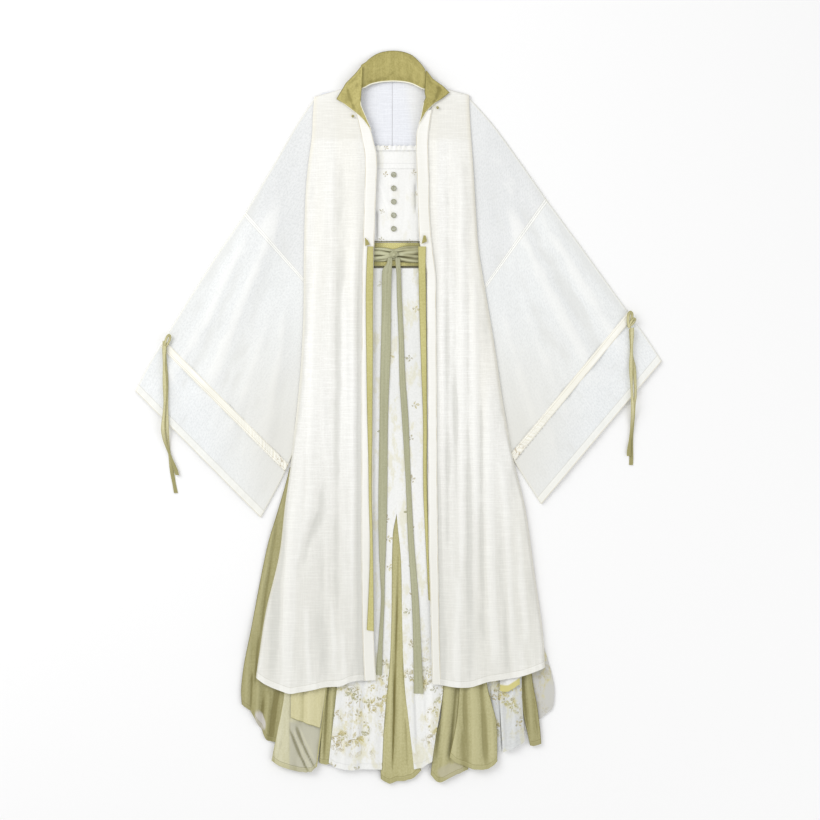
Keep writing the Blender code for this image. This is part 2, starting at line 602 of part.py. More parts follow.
def make_ribbons():
    def left_height(x, y, u, v):
        return ON_BAND + over_dress(x, y)

    def right_height(x, y, u, v):
        on_band = smooth((y - 240) / 40)
        on_skirt = 7.0 + ridges(x, y, DRESS_RIDGES)
        return on_band * (ON_BAND + 0.2) + (1 - on_band) * on_skirt

    panel("ribbon_left", RIBBON_LEFT, (1, 9), left_height, YELLOW_OLIVE)
    panel("ribbon_right", RIBBON_RIGHT, (1, 12), right_height, YELLOW_OLIVE)
    for side, table in (("left", RIBBON_HEAD_LEFT), ("right", RIBBON_HEAD_RIGHT)):
        panel(f"ribbon_head_{side}", table, (1, 1), lambda x, y, u, v: ON_BAND + 2.2, OLIVE)


def make_skirt():
    """Each row: name, table, cells across and down, layer, colour, hem."""
    pieces = (
        ("skirt_back", SKIRT_BACK, (8, 9), 0, PRINT_WHITE, SKIRT_BACK_HEM),
        ("skirt_godet_centre", GODET_CENTRE, (5, 8), 1, GODET_GREEN, GODET_CENTRE_HEM),
        ("skirt_godet_far_left", GODET_FAR_LEFT, (4, 9), 1, GODET_GREEN, FAR_LEFT_HEM),
        ("skirt_godet_right", GODET_RIGHT, (5, 6), 1, GODET_GREEN, GODET_RIGHT_HEM),
        ("skirt_godet_far_right", GODET_FAR_RIGHT, (3, 5), 1, GODET_GREEN, FAR_RIGHT_HEM),
        ("skirt_stripe_left", STRIPE_LEFT, (2, 6), 1, GODET_GREEN, FAR_RIGHT_HEM),
        ("skirt_panel_left", PANEL_LEFT, (8, 12), 2, PRINT_WHITE, PANEL_LEFT_HEM),
        ("skirt_panel_right", PANEL_RIGHT, (6, 12), 2, PRINT_WHITE, PANEL_RIGHT_HEM),
        ("skirt_overlay_left", OVERLAY_LEFT, (6, 6), 2, YELLOW_OLIVE, OVERLAY_LEFT_HEM),
        ("skirt_overlay_fold", OVERLAY_FOLD, (6, 4), 3, YELLOW_OLIVE, NO_HEM),
        ("skirt_stripe_right", STRIPE_RIGHT, (2, 5), 1, PRINT_WHITE, NO_HEM),
        ("skirt_panel_far_right", PANEL_FAR_RIGHT, (3, 5), 2, PRINT_WHITE, FAR_RIGHT_HEM),
        ("skirt_overlay_right", OVERLAY_RIGHT, (3, 3), 3, YELLOW_OLIVE, NO_HEM),
        ("skirt_flap_right", FLAP_RIGHT, (5, 6), 3, GODET_GREEN, FLAP_RIGHT_HEM),
    )
    for name, table, cells, layer, colour, hem in pieces:
        panel(name, table, cells, lambda x, y, u, v: dress_height(layer, x, y), colour, hem)


for old in list(bpy.data.objects):
    bpy.data.objects.remove(old)
PARTS = bpy.data.collections.new("hanfu_robe")
bpy.context.scene.collection.children.link(PARTS)
make_coat()
make_sleeves()
make_collar()
make_bodice()
make_belt()
make_ribbons()
make_skirt()
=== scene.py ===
"""A hanfu robe laid flat: a sheer ivory coat over a printed strap dress with its belt and sash.

Each cloth piece is made again on the upper face of its solid, finer, with its creases, hems and
seams. The collar points to +Y and the front faces +Z. Lengths are in metres; the rows of crease
tables and of corner places are in millimetres.
"""

import math

import bmesh
import bpy
import numpy as np
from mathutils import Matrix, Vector
from mathutils.bvhtree import BVHTree


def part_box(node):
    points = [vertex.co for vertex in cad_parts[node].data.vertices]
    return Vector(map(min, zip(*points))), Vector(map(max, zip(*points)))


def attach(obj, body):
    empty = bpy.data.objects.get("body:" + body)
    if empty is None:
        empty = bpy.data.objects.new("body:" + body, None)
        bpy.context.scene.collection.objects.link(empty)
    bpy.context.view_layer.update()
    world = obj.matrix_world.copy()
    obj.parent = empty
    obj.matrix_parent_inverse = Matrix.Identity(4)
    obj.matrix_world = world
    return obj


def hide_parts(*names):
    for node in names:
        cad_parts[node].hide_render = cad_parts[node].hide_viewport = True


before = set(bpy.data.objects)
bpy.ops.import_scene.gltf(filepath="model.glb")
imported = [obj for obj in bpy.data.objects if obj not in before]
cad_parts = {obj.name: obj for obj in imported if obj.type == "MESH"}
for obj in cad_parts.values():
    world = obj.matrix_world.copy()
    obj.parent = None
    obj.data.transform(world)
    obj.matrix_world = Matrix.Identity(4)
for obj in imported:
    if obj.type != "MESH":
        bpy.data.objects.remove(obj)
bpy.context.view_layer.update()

MM = 0.001
TAU = 2 * math.pi
CLOTH = 0.5 * MM  # the wall of most fine pieces
STITCH = 0.405 * MM  # half the width of a row of stitches
SHARP = math.radians(65)  # a bend that ends a face
HEM = 12 * MM
FIELD = 1.640  # what the camera sees across, at the cloth
LENS, SENSOR = 100.0, 36.0
AIM = (0.023, 0.014)
STUDIO = 1.08  # how much brighter than a white card the light makes a surface
SIDES = ("left", "right")
EDGES = ("from_left", "from_right", "from_top", "from_hem")
OUT_AND_IN = {"left": EDGES[:2], "right": EDGES[1::-1]}  # the marks of the outer and inner edges


# ---------------------------------------------------------------- grids from the solids

def smooth(x):
    x = np.clip(x, 0.0, 1.0)
    return x * x * (3 - 2 * x)


def bump(x, half_width):
    return np.exp(-((x / half_width) ** 2))


def upper_face(node, above):
    """Points and triangles of a solid's upper face, or of its part that is higher than a level. The
    face ends where the surface bends sharply, at its wall."""
    bm = bmesh.new()
    bm.from_mesh(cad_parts[node].data)
    bmesh.ops.remove_doubles(bm, verts=bm.verts[:], dist=0.01 * MM)
    bmesh.ops.triangulate(bm, faces=bm.faces[:])
    bm.normal_update()
    bm.verts.index_update()

    def high(face):
        return min(v.co.z for v in face.verts) > above

    seen, best, best_size = set(), [], 0.0
    for start in filter(high, bm.faces):
        if start in seen:
            continue
        seen.add(start)
        island, waiting = [start], [start]
        while waiting:
            for edge in waiting.pop().edges:
                if len(edge.link_faces) != 2 or edge.calc_face_angle() > SHARP:
                    continue
                for face in edge.link_faces:
                    if face not in seen and high(face):
                        seen.add(face)
                        island.append(face)
                        waiting.append(face)
        size = sum(f.calc_area() * f.normal.z for f in island)
        if size > best_size:
            best, best_size = island, size
    points = np.array([v.co for v in bm.verts], float)
    triangles = [tuple(v.index for v in f.verts) for f in best]
    bm.free()
    return points, triangles


def rim_of(triangles):
    """The longest rim of a face, anticlockwise from above, as points in order."""
    edges = {(t[k], t[(k + 1) % 3]) for t in triangles for k in range(3)}
    after = {a: b for a, b in edges if (b, a) not in edges}
    rims = []
    while after:
        rim = [min(after)]
        while rim[-1] in after:
            rim.append(after.pop(rim[-1]))
        rims.append(rim[:-1])
    return max(rims, key=len)


def corner_places(rim, hints):
    """Where the four corners are on a rim: at its sharpest turns, or nearest to the hints."""
    if hints:
        return sorted(int(np.argmin(np.linalg.norm(rim[:, :2] - np.array(h) * MM, axis=1)))
                      for h in hints)
    count, apart = len(rim), 3 * MM
    step = np.linalg.norm(np.roll(rim, -1, axis=0) - rim, axis=1)

    def look(k, way):
        reach, j = 0.0, k
        while reach < apart:
            reach += step[j if way > 0 else j - 1]
            j = (j + way) % count
        return rim[j][:2] - rim[k][:2]

    turns = []
    for k in range(count):
        ahead, back = look(k, 1), -look(k, -1)
        turns.append(math.atan2(back[0] * ahead[1] - back[1] * ahead[0], float(ahead @ back)))
    found = []
    for k in sorted(range(count), key=lambda k: -turns[k]):
        if all(np.linalg.norm(rim[k] - rim[j]) > apart for j in found):
            found.append(k)
        if len(found) == 4:
            return sorted(found)
    raise ValueError("a rim without four corners")


def sides_of(node, above=-1.0, hints=None, from_shoulder=False):
    """A face's left, right, top and hem edges, each as points, and a search tree of the face. The top
    is the edge nearest the collar or, for a sleeve, nearest the shoulder."""
    points, triangles = upper_face(node, above)
    rim = points[rim_of(triangles)]
    corners = corner_places(rim, hints)
    sides = []
    for k, first in enumerate(corners):
        last = corners[(k + 1) % 4]
        index = range(first, (last if last > first else last + len(rim)) + 1)
        sides.append(rim[[i % len(rim) for i in index]])
    fall = [side[-1][1] - side[0][1] for side in sides]
    if from_shoulder:
        first = (1 + int(np.argmax([(side[:, 1] - np.abs(side[:, 0])).mean() for side in sides]))) % 4
    elif abs(fall[0]) + abs(fall[2]) > abs(fall[1]) + abs(fall[3]):
        first = 0 if fall[0] < fall[2] else 2
    else:
        first = 1 if fall[1] < fall[3] else 3
    left, hem, right, top = (sides[(first + k) % 4] for k in range(4))
    tree = BVHTree.FromPolygons([tuple(p) for p in points], triangles)
    return left, right[::-1], top[::-1], hem, tree


# ---------------------------------------------------------------- finer grids

def places(length, step, start=0.0, end=0.0, close=1.6 * MM):
    """Shares of a length: close together near its ends and about a step apart between."""
    middle = length - start - end
    found = [np.linspace(start, length - end, max(2, round(middle / step)) + 1)]
    if start:
        found.insert(0, np.linspace(0, start, round(start / close) + 1)[:-1])
    if end:
        found.append(np.linspace(length - end, length, round(end / close) + 1)[1:])
    return np.concatenate(found) / length


def along_edge(edge, shares, curved):
    """Points at these shares of the way along an edge, on a curve or on straight lines."""
    run = np.concatenate([[0.0], np.cumsum(np.linalg.norm(np.diff(edge, axis=0), axis=1))])
    where = np.interp(shares, run / run[-1], np.arange(len(edge)))
    last = len(edge) - 1
    first = np.minimum(where.astype(int), last - 1)
    t = (where - first)[:, None]
    if not curved:
        return (1 - t) * edge[first] + t * edge[first + 1]
    weights = (0.5 * t * (-1 + t * (2 - t)), 1 + 0.5 * t * t * (-5 + 3 * t),
               0.5 * t * (1 + t * (4 - 3 * t)), 0.5 * t * t * (t - 1))
    return sum(weight * edge[np.clip(first + k - 1, 0, last)] for k, weight in enumerate(weights))


def length_of(edge):
    return np.linalg.norm(np.diff(edge, axis=0), axis=1).sum()


def softened(values, run, size):
    """Values along the first axis, averaged with their neighbours within about a size."""
    weight = bump(run[:, None] - run[None, :], 1.4 * size) * np.gradient(run)[None, :]
    return (weight / weight.sum(1, keepdims=True)) @ values


def softened_both(values, down, across, size):
    return softened(softened(values, down, size).T, across, size).T


def fine_grid(node, step, ends=(0, 0, 0, 0), curved=(True, True), soften=9 * MM, **face):
    """A face as rows of points about a step apart, the first row nearest the collar. ends: close
    rows or columns within these lengths of the left, right, top and hem. curved: across, down."""
    left, right, top, hem, tree = sides_of(node, **face)
    width = (length_of(top) + length_of(hem)) / 2
    width = max(width, np.linalg.norm(left[len(left) // 2] - right[len(right) // 2]))
    length = (length_of(left) + length_of(right)) / 2
    step = step if isinstance(step, tuple) else (step, step)
    across, down = places(width, step[0], *ends[:2]), places(length, step[1], *ends[2:])
    u, v = across[None, :, None], down[:, None, None]
    grid = (
        (1 - v) * along_edge(top, across, curved[0])[None] + v * along_edge(hem, across, curved[0])[None]
        + (1 - u) * along_edge(left, down, curved[1])[:, None]
        + u * along_edge(right, down, curved[1])[:, None]
        - (1 - u) * (1 - v) * left[0] - u * (1 - v) * right[0]
        - (1 - u) * v * left[-1] - u * v * right[-1]
    )
    for point in grid.reshape(-1, 3):
        hit = tree.ray_cast((point[0], point[1], 1.0), (0, 0, -1))[0]
        point[2] = (hit or tree.find_nearest(tuple(point))[0])[2]
    grid[..., 2] = softened_both(grid[..., 2], down * length, across * width, soften)
    return grid


def run_along(grid, axis):
    steps = np.linalg.norm(np.diff(grid, axis=axis), axis=2)
    start = np.zeros_like(steps[:1] if axis == 0 else steps[:, :1])
    return np.concatenate([start, np.cumsum(steps, axis=axis)], axis=axis)


def measures(grid):
    """Distances over the cloth from its left and right edges, its top and its hem."""
    across, down = run_along(grid, 1), run_along(grid, 0)
    return dict(zip(EDGES, (across, across[:, -1:] - across, down, down[-1:] - down)))


def wave(x, size, sway=0.0, long_size=1.0):
    """A wave of a size whose crests wander to and fro over a longer size."""
    return np.sin(TAU * x / size + sway * np.sin(TAU * x / long_size))


# ---------------------------------------------------------------- creases

def creases(x, y, table):
    """Summed heights of soft ridges and troughs. Each row: from x, y to x, y, half width, height and
    bow sideways, all in millimetres. Each fades out unevenly towards its ends."""
    total = np.zeros_like(x)
    for x0, y0, x1, y1, half_width, height, bow in table:
        run = np.array((x1 - x0, y1 - y0)) * MM
        length = math.hypot(*run)
        run /= length
        dx, dy = x - x0 * MM, y - y0 * MM
        along = (dx * run[0] + dy * run[1]) / length
        inside = np.clip(along, 0, 1)
        aside = dx * run[1] - dy * run[0] - bow * MM * 4 * inside * (1 - inside)
        fade = smooth(along / 0.22) * smooth((1 - along) / 0.35)
        total += height * MM * fade * bump(aside, half_width * MM)
    return total


def unevenness(x, y, size, height, seed, stretch=3.0, turn=0.0):
    """Gentle waves of mixed direction, longer one way, as lying cloth has."""
    draw = np.random.default_rng(seed)
    total = np.zeros_like(x)
    for _ in range(7):
        angle = turn + draw.normal(0, 0.28)
        breadth = size * draw.uniform(0.6, 1.7)
        side = math.cos(angle) * x + math.sin(angle) * y
        along = -math.sin(angle) * x + math.cos(angle) * y
        bend = np.sin(TAU * along / (breadth * stretch) + draw.uniform(0, 6.3))
        total += np.sin(TAU * side / breadth + 1.6 * bend + draw.uniform(0, 6.3))
    return height * total / 4


def puckers(along, away, size, height, reach, seed):
    """Small gathers beside a line of stitches."""
    start = np.random.default_rng(seed).uniform(0, 6.3)
    gathers = np.sin(TAU * along / size + 1.3 * np.sin(TAU * along / (size * 4.3) + start))
    return height * gathers * np.exp(-np.abs(away) / reach)


# ---------------------------------------------------------------- pieces

def facing(grid):
    """Unit normals, upwards on a laid sheet."""
    normal = np.cross(np.gradient(grid, axis=0), np.gradient(grid, axis=1))
    return normal / np.maximum(np.linalg.norm(normal, axis=2, keepdims=True), 1e-12)


def piece_of(mesh, slot, finish, node=None, marks=None, sharp=None):
    """The piece that a mesh makes: its marks, its finish, and the solid that it stands for."""
    if marks is None:
        marks = {"grain": np.array([v.co for v in mesh.vertices])}
    for key, values in marks.items():
        kind, field = ("FLOAT_VECTOR", "vector") if values.ndim == 2 else ("FLOAT", "value")
        layer = mesh.attributes.new(key, kind, "POINT")
        layer.data.foreach_set(field, values.astype(np.float32).ravel())
    mesh.shade_smooth()
    if sharp:
        mesh.set_sharp_from_angle(angle=math.radians(sharp))
    mesh.materials.append(finish)
    piece = bpy.data.objects.new(mesh.name, mesh)
    bpy.context.scene.collection.objects.link(piece)
    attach(piece, "root")
    if node:
        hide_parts(node)
    return piece


def mesh_from(bm, name):
    mesh = bpy.data.meshes.new(name)
    bm.to_mesh(mesh)
    bm.free()
    return mesh


def shell(name, grid, marks, slot, finish, node=None, wall=CLOTH, ring=False):
    """A thin closed piece on a grid. ring: its last column joins its first, as round a sleeve."""
    rows, columns = grid.shape[:2]
    if ring:
        wide = np.concatenate([grid[:, -1:], grid, grid[:, :1]], axis=1)
        normal = facing(wide)[:, 1:-1]
        if (normal * (grid - grid.mean(1, keepdims=True))).sum() < 0:
            normal = -normal
    else:
        normal = facing(grid)
    points = np.concatenate([grid.reshape(-1, 3), (grid - normal * wall).reshape(-1, 3)])
    below = rows * columns
    index = np.arange(below).reshape(rows, columns)
    if ring:
        index = np.concatenate([index, index[:, :1]], axis=1)
    top = np.stack([index[:-1, :-1], index[1:, :-1], index[1:, 1:], index[:-1, 1:]], axis=-1)
    top = top.reshape(-1, 4)
    if ring:
        rims = (index[0, ::-1], index[-1])
    else:
        rims = (np.concatenate([index[:, 0], index[-1, 1:], index[-2::-1, -1], index[0, -2::-1]]),)
    faces = np.concatenate([top, top[:, ::-1] + below] + [
        np.stack([rim[:-1], rim[:-1] + below, rim[1:] + below, rim[1:]], axis=-1) for rim in rims])
    first = grid.reshape(-1, 3)[top]
    turn = np.cross(first[:, 1] - first[:, 0], first[:, 2] - first[:, 0])
    outward = (turn * (first.mean(1) - grid.mean(axis=(0, 1)))).sum() if ring else turn[:, 2].sum()
    if outward < 0:
        faces = faces[:, ::-1]
    mesh = bpy.data.meshes.new(name)
    mesh.from_pydata(points.tolist(), [], faces.tolist())
    doubled = {}
    for key, values in marks.items():
        flat = values.reshape(-1, 3) if values.ndim == 3 else values.ravel()
        doubled[key] = np.concatenate([flat, flat])
    return piece_of(mesh, slot, finish, node, doubled, sharp=60)


def folds_of(grid, m, near, deep):
    """How far the cloth rises above (to 1) or sinks below (to -1) what lies near it."""
    across, down = m["from_left"].mean(0), m["from_top"].mean(1)
    height = softened_both(grid[..., 2], down, across, near)
    inside = np.minimum(np.minimum(m["from_left"], m["from_right"]), m["from_top"])
    return np.clip((grid[..., 2] - height) / deep, -1, 1) * smooth(inside / (5 * MM))


def grain_of(first, second):
    return np.stack([first, second, 0 * first], axis=-1)


def cut_of(grid, ring=False):
    """Width, length and area of the cloth as it was cut, from the laid surface."""
    if ring:
        grid = np.concatenate([grid, grid[:, :1]], axis=1)
    across, down = run_along(grid, 1), run_along(grid, 0)
    a, b = grid[1:, 1:] - grid[:-1, :-1], grid[1:, :-1] - grid[:-1, 1:]
    area = 0.5 * np.linalg.norm(np.cross(a, b), axis=2).sum()
    width, length = max(across[:, -1].max(), 0.0101), max(down[-1].max(), 0.0101)
    return (float(width), float(length)), float(min(max(area, 0.31 * width * length), width * length))


def cloth(node, slot, finish, step, shape=None, ends=(0, 0, 0, 0), curved=(True, True), wall=CLOTH,
          rests_on=(), along=False, soften=9 * MM, hints=None, parts=None,
          fold=(12 * MM, 2.6 * MM)):
    """One laid sheet in place of its solid. shape(grid, measures) moves the points of the fine grid;
    parts(x, y) marks the areas that look different; along: the grain follows the piece; fold: see
    folds_of."""
    grid = fine_grid(node, step, ends, curved, soften, hints=hints)
    if shape:
        grid = shape(grid, measures(grid))
    m = measures(grid)
    x, y = grid[..., 0], grid[..., 1]
    m["fold"] = folds_of(grid, m, *fold)
    if parts:
        m["part"] = parts(x, y)
    m["grain"] = grain_of(m["from_left"], m["from_top"]) if along else grain_of(x, y)
    piece = shell(node + "_cloth", grid, m, slot, finish, node, wall)
    flat, area = cut_of(grid)
    list(rests_on)


# ---------------------------------------------------------------- finishes

def dye(shade):
    """The colour of cloth that looks so in the studio light: red, green and blue from 0 to 255."""
    return (*(((v / 255 + 0.055) / 1.055) ** 2.4 / STUDIO for v in shade), 1.0)


class Field:
    """A number that varies over a surface, with arithmetic that adds the nodes."""

    def __init__(self, finish, socket):
        self.finish, self.socket = finish, socket

    def maths(self, operation, *values):
        made = self.finish.node("ShaderNodeMath", {"operation": operation}, dict(enumerate(values)))
        return Field(self.finish, made.outputs[0])

    def __add__(self, other):
        return self.maths("ADD", self, other)

    def __sub__(self, other):
        return self.maths("SUBTRACT", self, other)

    def __rsub__(self, other):
        return self.maths("SUBTRACT", other, self)

    def __mul__(self, other):
        return self.maths("MULTIPLY", self, other)

    def __truediv__(self, other):
        return self.maths("DIVIDE", self, other)

    def __abs__(self):
        return self.maths("ABSOLUTE", self)

    __radd__, __rmul__ = __add__, __mul__

    def sine(self):
        return self.maths("SINE", self)

    def part(self):
        """What is left above the whole number below."""
        return self.maths("FRACT", self)

    def most(self, other):
        return self.maths("MAXIMUM", self, other)

    def over(self, low, high):
        """0 below low, 1 above high, soft between. low may be the larger one."""
        made = self.finish.node("ShaderNodeMapRange", {"interpolation_type": "SMOOTHSTEP"},
                                {"Value": self, "From Min": low, "From Max": high})
        return Field(self.finish, made.outputs[0])

    def line(self, at, half_width):
        """1 on a line where the field is at a value, 0 away from it."""
        return abs(self - at).over(half_width * 1.3, half_width * 0.6)


class Finish:
    """One material. node() adds any node, tint() lays a colour over what is there already, and
    dress() sets the shader at the end. A colour is given as for dye()."""

    def __init__(self, name):
        self.material = bpy.data.materials.new(name)
        self.material.use_nodes = True
        self.tree = self.material.node_tree
        self.shader = self.tree.nodes["Principled BSDF"]

    def feed(self, socket, value):
        value = value.socket if isinstance(value, Field) else value
        if isinstance(value, bpy.types.NodeSocket):
            self.tree.links.new(value, socket)
        elif socket.type == "RGBA" and len(value) == 3:
            socket.default_value = dye(value)
        else:
            socket.default_value = value

    def node(self, kind, settings=None, sockets=None):
        made = self.tree.nodes.new(kind)
        for key, value in (settings or {}).items():
            setattr(made, key, value)
        for key, value in (sockets or {}).items():
            self.feed(made.inputs[key], value)
        return made

    def mark(self, name):
        return Field(self, self.node("ShaderNodeAttribute", {"attribute_name": name}).outputs["Fac"])

    def marks(self, *names):
        return [self.mark(name) for name in names]

    def grain(self, across=1.0, down=1.0, shift=0.0):
        made = self.node("ShaderNodeAttribute", {"attribute_name": "grain"})
        scaled = self.node("ShaderNodeVectorMath", {"operation": "MULTIPLY_ADD"},
                           {0: made.outputs["Vector"], 1: (across, down, 1.0), 2: (shift, shift, 0)})
        return scaled.outputs[0]

    def ways(self, vector):
        """The first two numbers of a vector."""
        place = self.node("ShaderNodeSeparateXYZ", None, {0: vector})
        return Field(self, place.outputs[0]), Field(self, place.outputs[1])

    def noise(self, across, down, detail=2.0, shift=0.0, rough=0.5):
        """Soft random change: how many patches in a metre each way."""
        made = self.node("ShaderNodeTexNoise", {"noise_dimensions": "2D"},
                         {"Vector": self.grain(across, down, shift), "Scale": 1.0, "Detail": detail,
                          "Roughness": rough})
        return Field(self, made.outputs[0])

    def patches(self, across, down, detail=2.0, shift=0.0, rough=0.5, over=(0.3, 0.7)):
        return self.noise(across, down, detail, shift, rough).over(*over)

    def mix(self, factor, first, second):
        made = self.node("ShaderNodeMix", {"data_type": "RGBA"}, {0: factor, 6: first, 7: second})
        return made.outputs[2]

    def tint(self, share, colour):
        self.colour = self.mix(share, self.colour, colour)

    def weave(self, pitch):
        """Threads over and under each other, from 0 to 1."""
        x, y = self.ways(self.grain(math.pi / pitch, math.pi / pitch))
        return 0.5 + 0.5 * x.sine() * y.sine()

    def slub_cloth(self, slub=0.6, pitch=1.1 * MM, along=(26.0, 420.0), shift=0.0):
        """Height and tone of plain-woven cloth with long uneven threads both ways."""
        weft = self.patches(*along, detail=3.0, shift=shift, over=(0.42, 0.72))
        warp = self.patches(along[1] * 0.9, along[0] * 0.8, shift=shift + 7, over=(0.45, 0.75))
        threads = weft * slub + warp * slub * 0.55
        return self.weave(pitch) * 0.45 + threads * 0.55, threads

    def folds(self, shade, light, depth=0.6):
        """Painted shade in the hollows of the folds and a painted highlight on their ridges, from the
        fold mark.
        """
        fold = self.mark("fold")
        self.tint(fold.over(-0.04, -0.85) * depth, shade)
        self.tint(fold.over(0.04, 0.9) * (depth * 0.8), light)

    def dress(self, rough, height=None, depth=None, alpha=1.0, sheen=0.0, sheen_tint=None, coat=0.0):
        """height, from 0 to 1, gives a relief as deep as depth."""
        sockets = {"Base Color": self.colour, "Roughness": rough, "Alpha": alpha, "Sheen Weight": sheen,
                   "Sheen Roughness": 0.5, "Coat Weight": coat, "Specular IOR Level": 0.25}
        if sheen_tint:
            sockets["Sheen Tint"] = sheen_tint
        if height is not None:
            sockets["Normal"] = self.node("ShaderNodeBump", None, {
                "Height": height, "Distance": depth, "Strength": 1.0}).outputs[0]
        for key, value in sockets.items():
            self.feed(self.shader.inputs[key], value)
        return self.material


def stitches(away, along, at):
    """A row of stitches at a distance from an edge."""
    run = (along / (3.2 * MM)).part()
    return away.line(at, STITCH) * run.over(0.1, 0.2) * run.over(0.85, 0.75)


def coat_cloth_finish(name, pale, deep, edge, alpha, shaded_fold_edge=None):
    """Sheer ivory slub cloth with a stitched hem of doubled cloth. It is warmer where no white dress
    lies under it, and in long soft bands."""
    finish = Finish(name)
    height, threads = finish.slub_cloth()
    left, hem = finish.marks("from_left", "from_hem")
    tone = (finish.patches(5.0, 2.2, shift=3.0) * 0.3 + threads * 0.3
            + finish.patches(260.0, 300.0, detail=3.0, shift=9.0) * 0.4)
    finish.colour = finish.mix(tone, deep, pale)
    warm = finish.patches(13.0, 1.1, detail=1.0, shift=21.0, over=(0.46, 0.66))
    finish.tint(warm * 0.3, (250, 247, 234))
    finish.tint(finish.mark("part") * 0.55, (238, 236, 227))
    finish.tint(hem.over(0.62, 0.10) * 0.75, (231, 230, 222))
    # Painted shade in the fold hollows and a painted highlight on the ridges.
    finish.folds((208, 208, 201), (258, 258, 254), 0.52)
    doubled = hem.over(HEM + 0.4 * MM, HEM - 0.4 * MM)
    finish.tint(doubled * 0.08, edge)
    seam = stitches(hem, left, HEM - 1.5 * MM) + stitches(hem, left, 1.5 * MM)
    # line: a thin painted shadow line where the turned hem ends, also sunk into the relief.
    line = hem.line(HEM + 0.7 * MM, 0.6 * MM)
    finish.tint(line * 0.4, (206, 204, 190))
    finish.tint(seam * 0.5, (258, 258, 254))
    # Cream painted shade along the front's folded outer edge, where the cloth rolls under.
    if shaded_fold_edge:
        finish.tint(finish.mark(shaded_fold_edge).over(13 * MM, 1 * MM) * 0.55, (243, 238, 220))
    return finish.dress(0.86 - threads * 0.1, height + seam * 0.8 - line * 0.5, 0.16 * MM,
                        alpha + threads * 0.08 + doubled * 0.04, sheen=0.15)


def edge_band_finish(name, pale, deep):
    """Two layers sewn together, with a thin line by both edges."""
    finish = Finish(name)
    height, threads = finish.slub_cloth()
    left, right, top, hem = finish.marks(*EDGES)
    finish.colour = finish.mix(finish.patches(20.0, 3.0) * 0.6 + threads * 0.4, deep, pale)
    finish.tint(hem.over(0.62, 0.10) * 0.75, (236, 235, 227))
    line = left.line(1.2 * MM, 0.7 * MM) + right.line(1.2 * MM, 0.7 * MM)
    worn = finish.patches(30.0, 24.0, shift=4.0, over=(0.35, 0.65)) * 0.6 + 0.4
    finish.tint(line * worn * 0.75, (206, 196, 166))
    seam = stitches(left, top, 3.6 * MM) + stitches(right, top, 3.6 * MM)
    finish.tint(seam * 0.6, (258, 258, 252))
    return finish.dress(0.84 - threads * 0.1, height - line * 0.6, 0.2 * MM, sheen=0.15)


def sleeve_finish(name, pale, deep, opening=False, shift=0.0):
    """Cool white crepe whose grain runs down the sleeve, creamy towards the body. opening: a
    double-stitched hem."""
    finish = Finish(name)
    height, threads = finish.slub_cloth(0.5, along=(300.0, 16.0), shift=shift)
    left, right, top, hem = finish.marks(*EDGES)
    crepe = finish.patches(310.0, 210.0, detail=4.0, shift=shift + 2.0, rough=0.65, over=(0.34, 0.62))
    tone = finish.patches(7.0, 3.0, detail=3.0, shift=shift) * 0.25 + threads * 0.25 + crepe * 0.5
    finish.colour = finish.mix(tone, deep, pale)
    # Painted shade in the fold hollows and a painted highlight on the ridges.
    finish.folds((226, 227, 224), (254, 254, 251))
    finish.tint(finish.mark("part") * 0.8, (228, 227, 220))
    turned = top.over(3.6 * MM, 3.0 * MM)
    shade = top.line(4.2 * MM, 0.6 * MM)
    if opening:
        finish.tint(hem.over(14.5 * MM, 13.5 * MM) * 0.55, (250, 249, 240))
        seam = stitches(hem, left, 11.6 * MM) + stitches(hem, left, 2.6 * MM)
        finish.tint(hem.over(2.2 * MM, 1.2 * MM) * 0.5, (226, 218, 190))
        shade = shade + hem.line(14.6 * MM, 0.7 * MM)
    else:
        turned = turned + hem.over(3.6 * MM, 3.0 * MM)
        shade = shade + hem.line(4.2 * MM, 0.6 * MM)
        seam = stitches(hem, left, 2.2 * MM)
    finish.tint(turned * 0.85, (257, 257, 252))
    sides = left.over(3.0 * MM, 0.6 * MM) + right.over(3.0 * MM, 0.6 * MM)
    finish.tint(sides * 0.4, (240, 237, 220))
    finish.tint(shade * 0.4, (206, 204, 190))
    finish.tint(seam * 0.7, (257, 257, 254))
    return finish.dress(0.88 - threads * 0.1, height + seam * 0.5 + turned * 0.5 - shade * 0.4,
                        0.15 * MM, sheen=0.12)


def seam_band_finish(name):
    """Cream tape, stitched along both edges, with flecks of the print at its low end."""
    finish = Finish(name)
    height, _ = finish.slub_cloth()
    left, right, top, hem = finish.marks(*EDGES)
    finish.colour = finish.mix(finish.patches(60.0, 9.0), (249, 247, 236), (258, 257, 250))
    # Painted shade in the fold hollows and a painted highlight on the ridges.
    finish.folds((222, 214, 186), (258, 257, 250))
    seam = stitches(left, top, 2.6 * MM) + stitches(right, top, 2.6 * MM)
    finish.tint(seam * 0.7, (258, 258, 252))
    line = left.line(1.1 * MM, 0.6 * MM) + right.line(1.1 * MM, 0.6 * MM) + left.line(4.4 * MM, 0.5 * MM)
    finish.tint(line * 0.45, (214, 204, 172))
    fleck = finish.patches(190.0, 120.0, shift=5.0, over=(0.58, 0.66)) * hem.over(0.05, 0.02)
    finish.tint(fleck * 0.6, (172, 150, 112))
    return finish.dress(0.82, height - line * 0.6, 0.2 * MM, sheen=0.12)


def leaf(x, y, middle, turn, length, width):
    """1 inside a leaf: pointed at both ends. x and y are places on the cloth in metres."""
    c, s = math.cos(turn), math.sin(turn)
    dx, dy = x - middle[0], y - middle[1]
    along, aside = (dx * c + dy * s) / (length / 2), (dy * c - dx * s) / (width / 2)
    return (1 - along * along - abs(aside)).over(0.0, 0.12)


